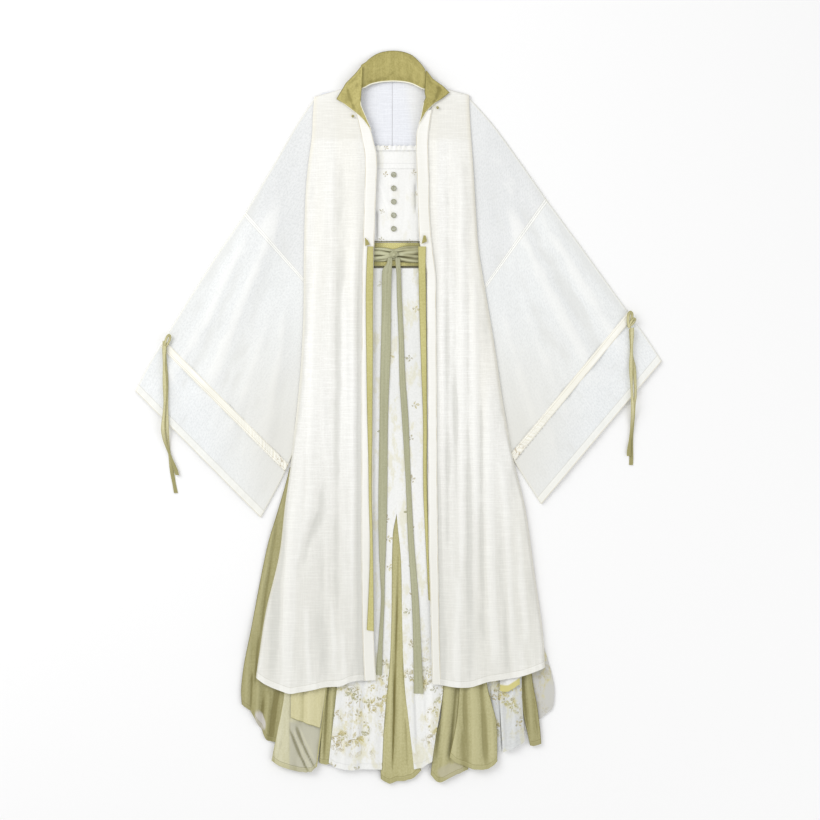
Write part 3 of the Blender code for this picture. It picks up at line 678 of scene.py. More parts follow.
def scattered(finish, spacing, shift):
    """Places round the nearest of many scattered points: x, y in metres, turned, and a random
    number that stays the same round one point."""
    place = finish.grain(1 / spacing, 1 / spacing, shift)
    cells = finish.node("ShaderNodeTexVoronoi", {"voronoi_dimensions": "2D"},
                        {"Vector": place, "Scale": 1.0, "Randomness": 0.75})
    away = finish.node("ShaderNodeVectorMath", {"operation": "SUBTRACT"},
                       {0: place, 1: cells.outputs["Position"]})
    parts = finish.node("ShaderNodeSeparateColor", None, {0: cells.outputs["Color"]})
    chance = Field(finish, parts.outputs[0])
    turned = finish.node("ShaderNodeVectorRotate", {"rotation_type": "Z_AXIS"},
                         {"Vector": away.outputs[0], "Angle": chance * 9.0})
    x, y = finish.ways(turned.outputs[0])
    return x * spacing, y * spacing, chance


# The shapes in a sprig: middle across and up, turn, length and width, for a sprig of size 1.
LEAVES = ((0.0, 0.30, 1.45, 0.62, 0.30), (0.26, 0.02, 0.35, 0.50, 0.24), (-0.24, -0.06, 2.6, 0.46, 0.22))
BUD_AND_STEM = ((0.10, -0.34, 1.2, 0.26, 0.22), (0.02, -0.10, 1.5, 0.9, 0.05))
INKS = ((0.0, (178, 162, 92)), (0.3, (190, 182, 104)), (0.5, (150, 148, 96)),
        (0.75, (168, 150, 88)), (1.0, (206, 196, 116)))


def sprig(x, y, size, shapes):
    """1 inside any of these shapes."""
    inside = [leaf(x, y, (across * size, up * size), turn, length * size, width * size)
              for across, up, turn, length, width in shapes]
    total = inside[0]
    for shape in inside[1:]:
        total = total.most(shape)
    return total


def printed_finish(name, white, shade, sprays=True, shift=0.0, fade=1.0, common=0.45, outside=None,
                   small=(0.052, 0.017)):
    """White cloth with small scattered sprigs and, in clumps towards the hem, washed golden sprays.
    small: the sprigs' spacing and size; common: the share of places left empty."""
    finish = Finish(name)
    height, threads = finish.slub_cloth(0.35, 0.9 * MM, shift=shift)
    tone = (finish.patches(9.0, 3.0, shift=shift + 2) * 0.5 + threads * 0.2
            + finish.patches(240.0, 240.0, detail=3.0, shift=shift + 5) * 0.3)
    finish.colour = finish.mix(tone, shade, white)
    if outside:
        finish.tint(finish.mark("part"), outside)
    # Painted shade in the fold hollows and a painted highlight on the ridges.
    finish.folds((200, 201, 200), white, 0.75)
    stain = finish.patches(38.0, 17.0, detail=4.0, shift=shift + 15, rough=0.7, over=(0.50, 0.66))
    finish.tint(stain * (0.36 if sprays else 0.15) * fade, (218, 211, 158))
    hem = finish.mark("from_hem")
    layers = [(*small, shift, 1.0, common)]
    if sprays:
        clump = finish.patches(17.0, 13.0, detail=1.0, shift=shift + 9, over=(0.44, 0.54))
        clump = clump * hem.over(0.30, 0.15) * hem.over(0.015, 0.05)
        blur = finish.patches(70.0, 50.0, detail=4.0, shift=shift + 3, rough=0.7, over=(0.46, 0.72))
        finish.tint(clump * blur * 0.7, (212, 202, 140))
        streak = finish.patches(330.0, 60.0, detail=3.0, shift=shift + 6, rough=0.7, over=(0.58, 0.72))
        finish.tint(clump * streak * 0.55, (176, 156, 92))
        layers += [(0.036, 0.034, shift + 11, clump, 0.1), (0.023, 0.017, shift + 23, clump, 0.25)]
    for spacing, size, move, where, least in layers:
        x, y, chance = scattered(finish, spacing, move)
        ramp = finish.node("ShaderNodeValToRGB", None, {0: chance})
        stops = ramp.color_ramp.elements
        while len(stops) < len(INKS):
            stops.new(0.5)
        for stop, (place, ink) in zip(stops, INKS):
            stop.position, stop.color = place, dye(ink)
        wash = finish.patches(420.0, 420.0, detail=3.0, shift=move, rough=0.7, over=(0.36, 0.62))
        share = (wash * 0.85 + 0.15) * chance.over(least, least + 0.02) * where * fade * 0.85
        finish.tint(sprig(x, y, size, LEAVES) * share, ramp.outputs[0])
        finish.tint(sprig(x, y, size, BUD_AND_STEM) * share, (148, 136, 78))
    # band: a thin painted shadow line where the turned hem ends, also sunk into the relief.
    band = hem.line(11 * MM, 0.5 * MM)
    finish.tint(band * 0.4, (204, 204, 202))
    return finish.dress(0.85, height - band * 0.5, 0.14 * MM, sheen=0.15)


def plain_finish(name, pale, deep, rough=0.8, streak=(160.0, 7.0), sheen=0.2, alpha=1.0, hem_line=None,
                 edges=(), shift=0.0, tint=None, shade=None, part=None, patch=None, mottled=0.35,
                 folds=0.62):
    """Dyed cloth with streaks along it, a stitched hem, and edgings: (mark, width, colour) each, and
    the mark of the area it stays in where it doesn't go all along. part and patch colour the marked
    area, under the painted fold shading and over it. shade: the painted shade in the fold hollows
    and in a thin painted shadow line at the hem; folds: how strong the fold shading is."""
    finish = Finish(name)
    height, threads = finish.slub_cloth(0.5, along=streak, shift=shift)
    patches = finish.patches(12.0, 4.0, detail=3.0, shift=shift + 4, over=(0.28, 0.72))
    crepe = finish.patches(280.0, 240.0, detail=3.0, shift=shift + 8, rough=0.65, over=(0.34, 0.64))
    tone = patches * (0.65 - mottled) + threads * 0.35 + crepe * mottled
    finish.colour = finish.mix(tone, deep, pale)
    if part:
        finish.tint(finish.mark("part") * 0.85, part)
    # shade: painted shade in the fold hollows, with pale as the painted highlight on the ridges.
    if shade:
        finish.folds(shade, pale, folds)
    if patch:
        finish.tint(finish.mark("part") * 0.85, patch)
    if hem_line:
        left, hem = finish.marks("from_left", "from_hem")
        finish.tint(hem.over(9.6 * MM, 8.6 * MM) * 0.35, hem_line)
        # A thin painted shadow line where the turned hem ends.
        finish.tint(hem.line(9.4 * MM, 0.6 * MM) * 0.5, shade)
        finish.tint(stitches(hem, left, 7.6 * MM) * 0.5, pale)
    for side, width, edge, *where in edges:
        away = finish.mark(side)
        along = away.over(width * 1.15, width * 0.85)
        for area in where:
            along = along * finish.mark(area)
        finish.tint(along, edge)
        height = height + away.over(width * 1.2, width * 0.8) * 0.8
    return finish.dress(rough - 0.1 * threads, height, 0.18 * MM, alpha, sheen, tint)


def belt_finish(name):
    """Olive band with a pale figure woven in small diamonds, brighter in the middle."""
    finish = Finish(name)
    x, y = finish.ways(finish.grain(1 / DIAMOND, 1 / DIAMOND))
    a, b = (x + y).part() - 0.5, (x - y).part() - 0.5
    lattice = abs(a).over(0.42, 0.47) + abs(b).over(0.42, 0.47)
    flower = (a * a + b * b).over(0.05, 0.025)
    figure = (lattice.over(0.0, 1.0) * 0.6 + flower).over(0.0, 1.0)
    across = finish.mark("from_left") - BELT_MIDDLE
    middle = (across * across).over(0.0009, 0.0001)
    finish.colour = finish.mix(middle, (168, 162, 104), (206, 198, 128))
    finish.tint(figure * (middle * 0.6 + 0.3), (236, 228, 164))
    height = finish.weave(0.8 * MM) * 0.4 + figure * 0.6
    return finish.dress(0.62 - figure * 0.18, height, 0.25 * MM, sheen=0.2)


def button_finish(name):
    finish = Finish(name)
    mottle = finish.noise(260.0, 260.0, detail=3.0)
    finish.colour = finish.mix(mottle.over(0.3, 0.7), (160, 160, 138), (192, 193, 176))
    finish.tint(finish.mark("from_rim").over(2.0 * MM, 1.4 * MM) * 0.6, (150, 149, 120))
    return finish.dress(0.38 + mottle * 0.15, mottle, 0.05 * MM, coat=0.3)


def paper_finish(name):
    """The pale floor."""
    finish = Finish(name)
    made = finish.node("ShaderNodeTexNoise", None, {"Scale": 3.0, "Detail": 2.0})
    tone = Field(finish, made.outputs[0]).over(0.3, 0.7)
    finish.colour = finish.mix(tone, (0.905, 0.905, 0.905, 1), (0.915, 0.915, 0.915, 1))
    return finish.dress(0.9)


def both_edges(width, colour):
    return tuple((edge, width * MM, colour) for edge in ("from_left", "from_right"))


def lapel_finish(side, pale, deep, shade, shift):
    """Collar cloth whose thin edges turn cream at a lapel's low end."""
    outer, inner = OUT_AND_IN[side]
    # The dark olive line along the inner edge, where no cream covers it, is painted shade where the
    # lapel rolls.
    return plain_finish(
        f"olive lapel cloth {side}", pale, deep, shade=shade, shift=shift,
        edges=((outer, 1.4 * MM, OLIVE_EDGE), (inner, 1.0 * MM, OLIVE_EDGE),
               (outer, 1.5 * MM, CREAM, "part"), (inner, 1.3 * MM, CREAM, "part")), **COLLAR_LOOK)


DIAMOND = 7.5 * MM  # the belt's figure repeats in this
BELT_MIDDLE = 98 * MM  # from its left end
CREAM, OLIVE_EDGE = (250, 247, 228), (132, 124, 66)
COLLAR_LOOK = {"mottled": 0.5, "sheen": 0.3, "tint": (220, 214, 160)}
SILKY = {"rough": 0.6, "sheen": 0.35, "tint": (230, 230, 200)}
GODET_EDGES = both_edges(1.1, (128, 120, 68))

IVORY = {side: coat_cloth_finish(f"ivory slub {side}", (257, 257, 254), (244, 243, 238),
                                 (252, 250, 243), 0.93, OUT_AND_IN[side][0]) for side in SIDES}
IVORY_BACK = coat_cloth_finish("ivory slub inside", (245, 247, 252), (235, 237, 243),
                               (246, 246, 242), 0.95)
EDGE_BAND = edge_band_finish("doubled ivory", (254, 253, 249), (243, 242, 235))
SLEEVE = sleeve_finish("sleeve white", (249, 251, 250), (229, 231, 231))
HEAD = sleeve_finish("sleeve head white", (245, 246, 246), (224, 226, 226), shift=17.0)
CUFF = sleeve_finish("cuff white", (250, 252, 252), (229, 232, 233), opening=True, shift=31.0)
SEAM_BAND = seam_band_finish("cream seam tape")
# In the plain finishes, shade is the painted shade in the hollows of the folds, folds its strength, and
# the pale colour the painted highlight on their ridges; shade also colours a painted shadow line at a
# stitched hem.
COLLAR = plain_finish("olive collar cloth", (194, 184, 119), (165, 155, 93), shade=(134, 125, 68),
                      edges=(("from_hem", 2.2 * MM, CREAM), ("from_top", 1.4 * MM, OLIVE_EDGE)),
                      **COLLAR_LOOK)
LAPEL = {"left": lapel_finish("left", (200, 190, 124), (172, 162, 98), (138, 129, 72), 3.0),
         "right": lapel_finish("right", (189, 179, 113), (158, 148, 85), (126, 117, 62), 9.0)}
RIBBON = plain_finish("yellow-olive ribbon", (214, 208, 146), (190, 183, 116), rough=0.55,
                      streak=(60.0, 300.0), sheen=0.3, shade=(158, 150, 92),
                      edges=both_edges(0.9, (160, 152, 92)))
RIBBON_HEAD = plain_finish("folded ribbon", (186, 178, 112), (158, 150, 92), rough=0.6)
TIE = plain_finish("sleeve tie", (226, 220, 180), (196, 190, 140), rough=0.65, streak=(300.0, 30.0),
                   shade=(158, 151, 98), part=(150, 144, 92), edges=both_edges(0.9, (170, 163, 108)))
SASH = plain_finish("sage sash", (206, 206, 172), (180, 179, 144), folds=0.95, streak=(30.0, 320.0),
                    shade=(84, 80, 48), part=(170, 167, 130), **SILKY,
                    edges=(("from_top", 0.9 * MM, (136, 132, 92)),
                           ("from_hem", 0.9 * MM, (110, 106, 68))))
SASH_KNOT = plain_finish("sage sash knot", (202, 202, 168), (160, 159, 124), streak=(60.0, 320.0),
                         **SILKY)
TAIL = plain_finish("sage sash tail", (191, 191, 161), (168, 168, 136), streak=(360.0, 12.0),
                    shade=(150, 148, 116), edges=both_edges(0.9, (158, 156, 122)), **SILKY)
BELT = belt_finish("figured belt")
PIPING = plain_finish("dark olive cord", (122, 116, 66), (84, 78, 40), rough=0.6)
THREAD = plain_finish("wound olive thread", (190, 182, 128), (150, 142, 86), rough=0.6,
                      streak=(700.0, 60.0))
GODET = plain_finish("olive godet cloth", (204, 199, 152), (174, 168, 116), shade=(124, 116, 64),
                     hem_line=(158, 152, 102), edges=GODET_EDGES, folds=0.95)
GODET_DEEP = plain_finish("deep olive godet cloth", (186, 181, 136), (158, 152, 104), shift=13.0,
                          shade=(116, 108, 58), hem_line=(160, 154, 108), edges=GODET_EDGES,
                          patch=(214, 210, 206))
GODET_PALE = plain_finish("pale olive godet cloth", (202, 197, 152), (170, 165, 116), shift=21.0,
                          shade=(132, 125, 76), hem_line=(172, 167, 118), edges=GODET_EDGES,
                          patch=(190, 185, 156))
OVERLAY = plain_finish("sheer olive cloth", (232, 229, 200), (210, 206, 168), alpha=0.9, shift=5.0,
                       hem_line=(182, 176, 120), shade=(134, 130, 90), folds=0.6, part=(200, 198, 180),
                       edges=(("from_right", 3.4 * MM, (196, 190, 136)),
                              ("from_left", 1.2 * MM, (178, 172, 120))))
OVERLAY_FOLD = plain_finish("sheer olive cloth doubled", (232, 226, 184), (212, 205, 156), alpha=0.9,
                            shift=8.0, shade=(172, 166, 116),
                            edges=(("from_hem", 1.2 * MM, (176, 170, 120)),))
FACING = plain_finish("white lining with a yellow edge", (250, 250, 248), (232, 232, 228), shift=28.0,
                      shade=(170, 166, 140), edges=(("from_hem", 13 * MM, (214, 205, 136)),))
PRINT = printed_finish("printed white", (250, 250, 248), (232, 233, 230))
PRINT_DARK = printed_finish("printed white far side", (231, 233, 232), (206, 208, 207), shift=40.0)
BODICE = printed_finish("printed bodice white", (254, 254, 252), (243, 243, 240), sprays=False,
                        shift=64.0, fade=0.9, common=0.5, small=(0.058, 0.012))
LINING = printed_finish("printed white inside", (216, 216, 210), (196, 196, 188), shift=80.0,
                        fade=0.35, outside=(206, 205, 199))
BUTTON = button_finish("olive-grey button")
FLOOR = paper_finish("floor paper")


# ---------------------------------------------------------------- the coat

# Creases: from x, y to x, y, half width, height, bow; millimetres. Troughs have negative heights.
LEFT_CREASES = (
    (-206, -110, -222, -560, 12, 4.2, 4), (-153, -180, -197, -330, 10, -2.2, 6),
    (-145, -200, -147, -440, 3.5, 1.3, -3), (-116, 330, -122, -560, 9, -2.4, 3),
    (-89, 420, -93, -540, 7, 1.9, -2), (-160, 380, -176, -120, 8, 1.7, 5),
    (-132, 560, -140, 60, 6, 1.2, -4), (-175, 120, -188, -260, 6, -1.2, 4),
    (-238, -150, -252, -600, 15, -2.8, 3), (-104, 240, -100, -60, 4, 1.0, 2),
    (-150, 90, -133, -160, 5, 0.9, 5), (-182, -360, -176, -560, 7, 1.6, 2),
    (-135, -330, -128, -560, 6, 1.3, -2), (-110, -420, -104, -560, 5, 1.2, 1),
)
RIGHT_CREASES = (
    (99, 480, 100, -430, 6, -2.2, 3), (86, 300, 88, -520, 5, 1.5, -2),
    (112, 120, 116, -380, 5, -1.6, -3), (127, 560, 131, -540, 8, 2.6, 4),
    (139, 340, 143, -420, 5, -1.5, 2), (150, 420, 153, -560, 7, 2.0, -3),
    (165, 130, 172, -520, 6, -2.0, 3), (181, 60, 196, -560, 9, 2.8, 4),
    (205, -60, 226, -540, 7, 1.9, -4), (240, -180, 262, -500, 8, 2.0, 3),
    (108, 600, 112, 330, 7, 1.0, 2), (120, -300, 117, -560, 5, 1.2, 1),
    (214, -330, 222, -560, 6, -1.4, 2),
)
FOLD_DEPTH = 1.2  # times the heights in the tables
FULLNESS = 2.0 * MM  # how far a front stands off what it lies on
DRESS_TOP, DRESS_HALF, DRESS_WAIST = 552 * MM, 118 * MM, 310 * MM
FOLD_RADIUS = 8 * MM  # of a front's outer folded edge
SLEEVE_LEVEL = 5.4 * MM  # where a front's edge lies on the sleeve
BACK_LEVEL = 1.5 * MM  # where it comes down to the coat back


def turned_down(grid, away, radius, level):
    """Rounds an edge down to a level, as a fold that goes on underneath."""
    share = np.clip(away / radius, 0, 1)
    curve = np.sqrt(1 - (1 - share) ** 2)
    grid[..., 2] = level + (grid[..., 2] - level) * curve
    return grid


def front_shape(side):
    table, seed = (LEFT_CREASES, 5) if side == "left" else (RIGHT_CREASES, 6)
    outer, inner = OUT_AND_IN[side]

    def shape(grid, m):
        x, y = grid[..., 0], grid[..., 1]
        clear = smooth((m[inner] - 6 * MM) / (16 * MM)) * smooth((m["from_top"] - 60 * MM) / (90 * MM))
        folds = FOLD_DEPTH * creases(x, y, table)
        folds += unevenness(x, y, 0.055, 0.7 * MM, seed, 9)
        folds += unevenness(x, y, 0.02, 0.28 * MM, seed + 10, 4)
        grid[..., 2] += np.maximum(folds + FULLNESS, -1.1 * MM) * clear
        grid[..., 2] += puckers(m["from_left"], m["from_hem"] - HEM, 17 * MM, 0.5 * MM, 22 * MM, 3)
        band = smooth((HEM - m["from_hem"]) / (1.5 * MM))
        grid[..., 2] += 0.35 * MM * band - 0.3 * MM * bump(m["from_hem"] - HEM, 1.3 * MM)
        on_sleeve = smooth((y + 60 * MM) / (50 * MM))
        level = BACK_LEVEL + (SLEEVE_LEVEL - BACK_LEVEL) * on_sleeve
        turned_down(grid, m[outer], FOLD_RADIUS, level)
        return turned_down(grid, m["from_top"], FOLD_RADIUS, BACK_LEVEL)

    return shape


def beside_dress(x, y):
    """1 where a coat front has no white dress under it, less so between the shoulder and the hip."""
    half = DRESS_HALF + 0.36 * np.maximum(DRESS_WAIST - y, 0)
    over = smooth((half - np.abs(x + 15 * MM)) / (7 * MM)) * smooth((DRESS_TOP - y) / (3 * MM))
    strong = smooth((y - DRESS_TOP) / (4 * MM)) + smooth((-150 * MM - y) / (200 * MM))
    return (1 - over) * (0.3 + 0.7 * strong)


def band_shape(grid, m):
    grid[..., 2] += puckers(m["from_top"], 0, 26 * MM, 0.12 * MM, 1, 8)
    for side in ("from_left", "from_right"):
        grid[..., 2] -= 0.28 * MM * bump(m[side] - 2.6 * MM, 0.9 * MM)
        grid[..., 2] -= 0.5 * MM * bump(m[side], 1.0 * MM)
    return grid


def back_shape(grid, m):
    seam = np.minimum(m["from_left"], m["from_right"])
    grid[..., 2] -= 0.1 * MM * bump(seam, 1.5 * MM)
    return grid


def make_coat():
    for side, close in (("left", (10 * MM, 0)), ("right", (0, 10 * MM))):
        cloth(f"coat_front_{side}", "coat_cloth", IVORY[side], (3.2 * MM, 6.5 * MM), front_shape(side),
              (*close, 9 * MM, 16 * MM), parts=beside_dress, fold=(18 * MM, 2.2 * MM),
              rests_on=[f"sleeve_head_{side}", "skirt_back"])
        cloth(f"front_band_{side}", "coat_cloth", EDGE_BAND, (1.5 * MM, 6 * MM), band_shape,
              soften=4 * MM, wall=1.0 * MM, rests_on=[f"coat_front_{side}"])
        cloth(f"coat_back_{side}", "coat_cloth", IVORY_BACK, 14 * MM, back_shape,
              curved=(False, False), wall=0.6 * MM)


# ---------------------------------------------------------------- the sleeves

SLEEVE_CREASES = (
    (-225, 430, -400, -20, 14, 2.6, 10), (-300, 370, -465, 60, 11, 2.2, -6),
    (-205, 290, -270, -120, 12, 2.4, 8), (-250, 240, -360, -90, 9, 1.6, -6),
    (-240, 500, -300, 380, 8, 1.4, 3), (-190, 180, -235, -60, 7, 1.3, 4),
    (-350, 250, -430, 60, 7, 1.2, 5), (-320, 120, -390, -60, 7, 1.1, -4),
    (-285, 60, -320, -130, 6, 1.2, 3), (-420, 20, -470, 110, 6, 1.0, 3),
    (210, 420, 405, 40, 14, 2.6, -10), (300, 390, 460, 110, 11, 2.2, 6),
    (180, 250, 290, -90, 12, 2.4, -8), (240, 260, 360, -40, 9, 1.6, 6),
    (225, 520, 300, 400, 8, 1.4, -3), (165, 190, 215, -40, 7, 1.3, -4),
    (340, 280, 430, 110, 7, 1.2, -5), (310, 150, 385, -30, 7, 1.1, 4),
    (270, 80, 320, -100, 6, 1.2, -3), (420, 60, 480, 130, 6, 1.0, -3),
)
SLEEVE_TOP = 3.9 * MM  # the top of a flattened sleeve is above this
SIDE_HEIGHTS = (2.6 * MM, 1.3 * MM)  # of a sleeve's rounded folded sides
SIDE_ROUND = 1.5 * MM
UNDER_SHARES = (1.0, 0.67, 0.33, 0.0)
# Where the corners of faces are whose rims turn gently there, in millimetres.
HEAD_CORNERS = {
    "left": ((-165, 638), (-165, 629), (-306, 405), (-166, 247)),
    "right": ((139, 639), (135, 627), (144, 219), (295, 433)),
}


def sleeve_parts(x, y):
    """1 low down beside the body, where the sleeve's colour turns greyer and creamier."""
    near = smooth((420 * MM - np.abs(x) + 0.12 * y) / (190 * MM))
    return near * smooth((260 * MM - y) / (330 * MM))


def sleeve_shape(grid, m, side):
    """Soft folds over a sleeve's top, level at its folded sides and where the coat front lies on it."""
    left, right, *_ = sides_of(f"coat_front_{side}")
    outer = left if side == "left" else right
    order = np.argsort(outer[:, 1])
    reach = np.interp(grid[..., 1], outer[order, 1], np.abs(outer[order, 0]))
    clear = smooth((np.abs(grid[..., 0]) - reach) / (45 * MM))
    clear = clear * smooth(np.minimum(m["from_left"], m["from_right"]) / (28 * MM))
    x, y = grid[..., 0], grid[..., 1]
    turn = -0.55 if side == "left" else 0.55
    folds = 0.7 * creases(x, y, SLEEVE_CREASES) + unevenness(x, y, 0.07, 0.8 * MM, 21, 3, turn)
    folds += unevenness(x, y, 0.022, 0.25 * MM, 22, 3, turn)
    grid[..., 2] += np.maximum(folds, -1.5 * MM) * clear
    return grid


def sleeve_piece(node, side, finish, opening=False, hints=None):
    """A flattened stretch of sleeve: a creased top, rounded sides and a flat underside."""
    ends = (6 * MM, 6 * MM, 3 * MM, 18 * MM if opening else 3 * MM)
    top = fine_grid(node, (4 * MM, 6 * MM), ends, above=SLEEVE_TOP, hints=hints, from_shoulder=True)
    m = measures(top)
    top = sleeve_shape(top, m, side)
    gap = np.minimum(m["from_top"], m["from_hem"])
    if opening:
        band = smooth((14 * MM - m["from_hem"]) / (1.5 * MM))
        top[..., 2] += 0.3 * MM * band - 0.35 * MM * bump(m["from_hem"] - 14 * MM, 1.4 * MM)
        top[..., 2] += puckers(m["from_left"], m["from_hem"], 21 * MM, 0.35 * MM, 25 * MM, 4)
        gap = m["from_top"]
    top[..., 2] -= 0.35 * MM * bump(gap, 1.6 * MM)
    near, far = top[:, 0], top[:, -1]
    out = (near - far) * (1, 1, 0)
    out *= SIDE_ROUND / np.linalg.norm(out, axis=1, keepdims=True)

    def at(point, height):
        return np.concatenate([point[:, :2], np.full((len(point), 1), height)], axis=1)

    high, low = SIDE_HEIGHTS
    columns = [at(near + out, high)] + [top[:, k] for k in range(top.shape[1])]
    columns += [at(far - out, high), at(far - out, low)]
    columns += [at(near + (far - near) * share, 0.0) for share in UNDER_SHARES]
    columns.append(at(near + out, low))
    grid = np.stack(columns, axis=1)
    last = top.shape[1] - 1
    source = [0, *range(last + 1), last, last, *(round(share * last) for share in UNDER_SHARES), 0]
    m["fold"] = folds_of(top, m, 14 * MM, 1.6 * MM)
    m["part"] = sleeve_parts(top[..., 0], top[..., 1])
    marks = {key: values[:, source] for key, values in m.items()}
    marks["grain"] = grain_of(marks["from_left"], marks["from_top"])
    piece = shell(node + "_cloth", grid, marks, "coat_cloth", finish, node, ring=True)
    flat, area = cut_of(grid, ring=True)


def seam_band_shape(grid, m):
    low_end = np.minimum(m["from_top"], m["from_hem"])
    crinkle = 0.12 + 0.88 * smooth((170 * MM - m["from_hem"]) / (110 * MM))
    grid[..., 2] += crinkle * puckers(m["from_top"] + 0.7 * m["from_left"], 0, 7.5 * MM, 0.8 * MM, 1, 6)
    for edge in ("from_left", "from_right"):
        grid[..., 2] -= 0.8 * MM * bump(m[edge], 1.2 * MM)
        grid[..., 2] -= 0.2 * MM * bump(m[edge] - 3.4 * MM, 0.8 * MM)
    grid[..., 2] += 0.4 * MM * smooth(low_end / (6 * MM))
    return grid


def tie_end(node):
    """Marks the darker low end of a tie."""
    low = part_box(node)[0][1]

    def parts(x, y):
        return smooth((low + 105 * MM - y) / (70 * MM))

    return parts


def tie_shape(node):
    """A tie's twists. The short strand follows the long one."""
    def shape(grid, m):
        grid = twisted(grid, m)
        if node.endswith("short"):
            way = -1 if "left" in node else 1
            across = 11 * MM + 3.5 * MM * np.cos(math.pi * m["from_top"] / (125 * MM))
            grid[..., 0] += way * (across * smooth(m["from_hem"] / (110 * MM)) + 1.0 * MM)
            grid[..., 2] += 1.4 * MM
        return grid

    return shape


def twisted(grid, m):
    """A flat narrow tie that twists once or twice as it lies, so that it narrows and widens."""
    half = (m["from_left"] + m["from_right"]) / 2
    across = (m["from_left"] - half) / half
    along = m["from_top"]
    turn = np.sin(TAU * along / TWIST + 0.6)
    narrow = 0.22 + 0.30 * turn ** 2 * smooth(along / (40 * MM)) * smooth(m["from_hem"] / (30 * MM))
    middle = grid.mean(axis=1, keepdims=True)
    grid[..., :2] += (middle - grid)[..., :2] * narrow[..., None]
    grid[..., 2] += (0.5 + 0.5 * narrow) * MM * (1 - across ** 2) + 0.25 * MM * turn * across
    return grid


TWIST = 190 * MM  # of a tie, from one to the next
TIE_LEVEL = 11.6 * MM
LOOP_ROWS, LOOP_COLUMNS = 40, 7
# Each row: side, number, the knot's place, the loop's tip, width; millimetres.
TIE_LOOPS = (
    ("left", 1, (-466, 138), (-457, 163), 5), ("right", 1, (460, 178), (463, 209), 6),
    ("right", 2, (460, 180), (471, 196), 5),
)


def tie_loop(side, number, knot_at, tip, width):
    """A small loop of the tie, standing out of its knot and back."""
    run = (np.array(tip) - np.array(knot_at)) * MM
    aside = np.array((-run[1], run[0])) / np.hypot(*run)
    turn = np.linspace(0.08, TAU - 0.08, LOOP_ROWS)
    share = (1 - np.cos(turn)) / 2
    spread = np.sin(turn) * 0.17 * np.hypot(*run) * (0.4 + 0.6 * share)
    base = TIE_LEVEL + 1.2 * MM * (1 + np.sin(turn)) * np.sin(turn / 2)
    path = np.array(knot_at)[None] * MM + share[:, None] * run[None] + spread[:, None] * aside[None]
    along = np.gradient(path, axis=0)
    out = np.stack([-along[:, 1], along[:, 0]], axis=1) / np.linalg.norm(along, axis=1, keepdims=True)
    across = np.linspace(-1, 1, LOOP_COLUMNS)
    grid = np.zeros((LOOP_ROWS, LOOP_COLUMNS, 3))
    size = width * MM / 2 * (0.55 + 0.45 * np.sin(turn / 2))
    grid[..., :2] = path[:, None] + out[:, None] * (across[None, :] * size[:, None])[..., None]
    grid[..., 2] = base[:, None] + 0.5 * MM * (1 - across[None] ** 2)
    marks = measures(grid)
    marks["grain"] = grain_of(marks["from_left"], marks["from_top"])
    # A made-up fold mark: painted shade towards the loop's tip and a painted highlight near its knot.
    marks["fold"] = 0.8 * np.cos(turn)[:, None] * np.ones((1, LOOP_COLUMNS))
    piece = shell(f"tie_loop_{side}_{number}", grid, marks, "ribbon_cloth", TIE)
    flat, area = cut_of(grid)


def make_sleeves():
    for side in SIDES:
        sleeve_piece(f"sleeve_head_{side}", side, HEAD, hints=HEAD_CORNERS[side])
        sleeve_piece(f"sleeve_{side}", side, SLEEVE)
        sleeve_piece(f"cuff_{side}", side, CUFF, opening=True)
        cloth(f"cuff_seam_{side}", "coat_cloth", SEAM_BAND, (1.6 * MM, 1.7 * MM), seam_band_shape,
              along=True, soften=6 * MM, fold=(5 * MM, 0.9 * MM),
              rests_on=[f"cuff_{side}", f"sleeve_{side}"])
        for length in ("long", "short"):
            node = f"sleeve_tie_{side}_{length}"
            cloth(node, "ribbon_cloth", TIE, (1.6 * MM, 3.5 * MM), tie_shape(node), along=True,
                  soften=6 * MM, parts=tie_end(node), rests_on=[f"cuff_{side}", "floor"])
    for row in TIE_LOOPS:
        tie_loop(*row)


# ---------------------------------------------------------------- the collar

def collar_shape(grid, m):
    """The stand rolls over from its outer edge to the neck, with soft folds where it turns. Its ends
    go on under the lapels."""
    x, y = grid[..., 0], grid[..., 1]
    grid[..., 2] += creases(x, y, (
        (-66, 700, -70, 655, 4, 1.6, 2), (-46, 716, -50, 664, 5, 0.9, 0), (12, 728, 12, 668, 6, 0.7, 0),
        (36, 706, 32, 662, 4, 0.9, 0), (48, 692, 47, 654, 4, 1.4, -2), (-20, 730, -22, 668, 5, 0.6, 0),
        (-58, 690, -12, 712, 2.5, 0.8, 3), (-34, 668, 10, 700, 2.2, -0.7, -3),
        (20, 716, 46, 684, 2.5, 0.8, 2), (-62, 668, -30, 676, 2, -0.6, 1),
    ))
    grid[..., 2] += unevenness(x, y, 0.024, 0.25 * MM, 33, 2)
    grid[..., 2] += 0.9 * MM * bump(m["from_hem"] - 1.5 * MM, 2.2 * MM)
    grid[..., 2] -= 1.0 * MM * bump(m["from_top"], 2.5 * MM)
    for side, way in (("from_left", -1), ("from_right", 1)):
        under = smooth((9 * MM - m[side]) / (9 * MM))
        if way > 0:
            under = under * smooth((m["from_top"] - 2 * MM) / (14 * MM))
        grid[..., 0] += way * 6 * MM * under
        grid[..., 2] -= 1.6 * MM * under
    return grid


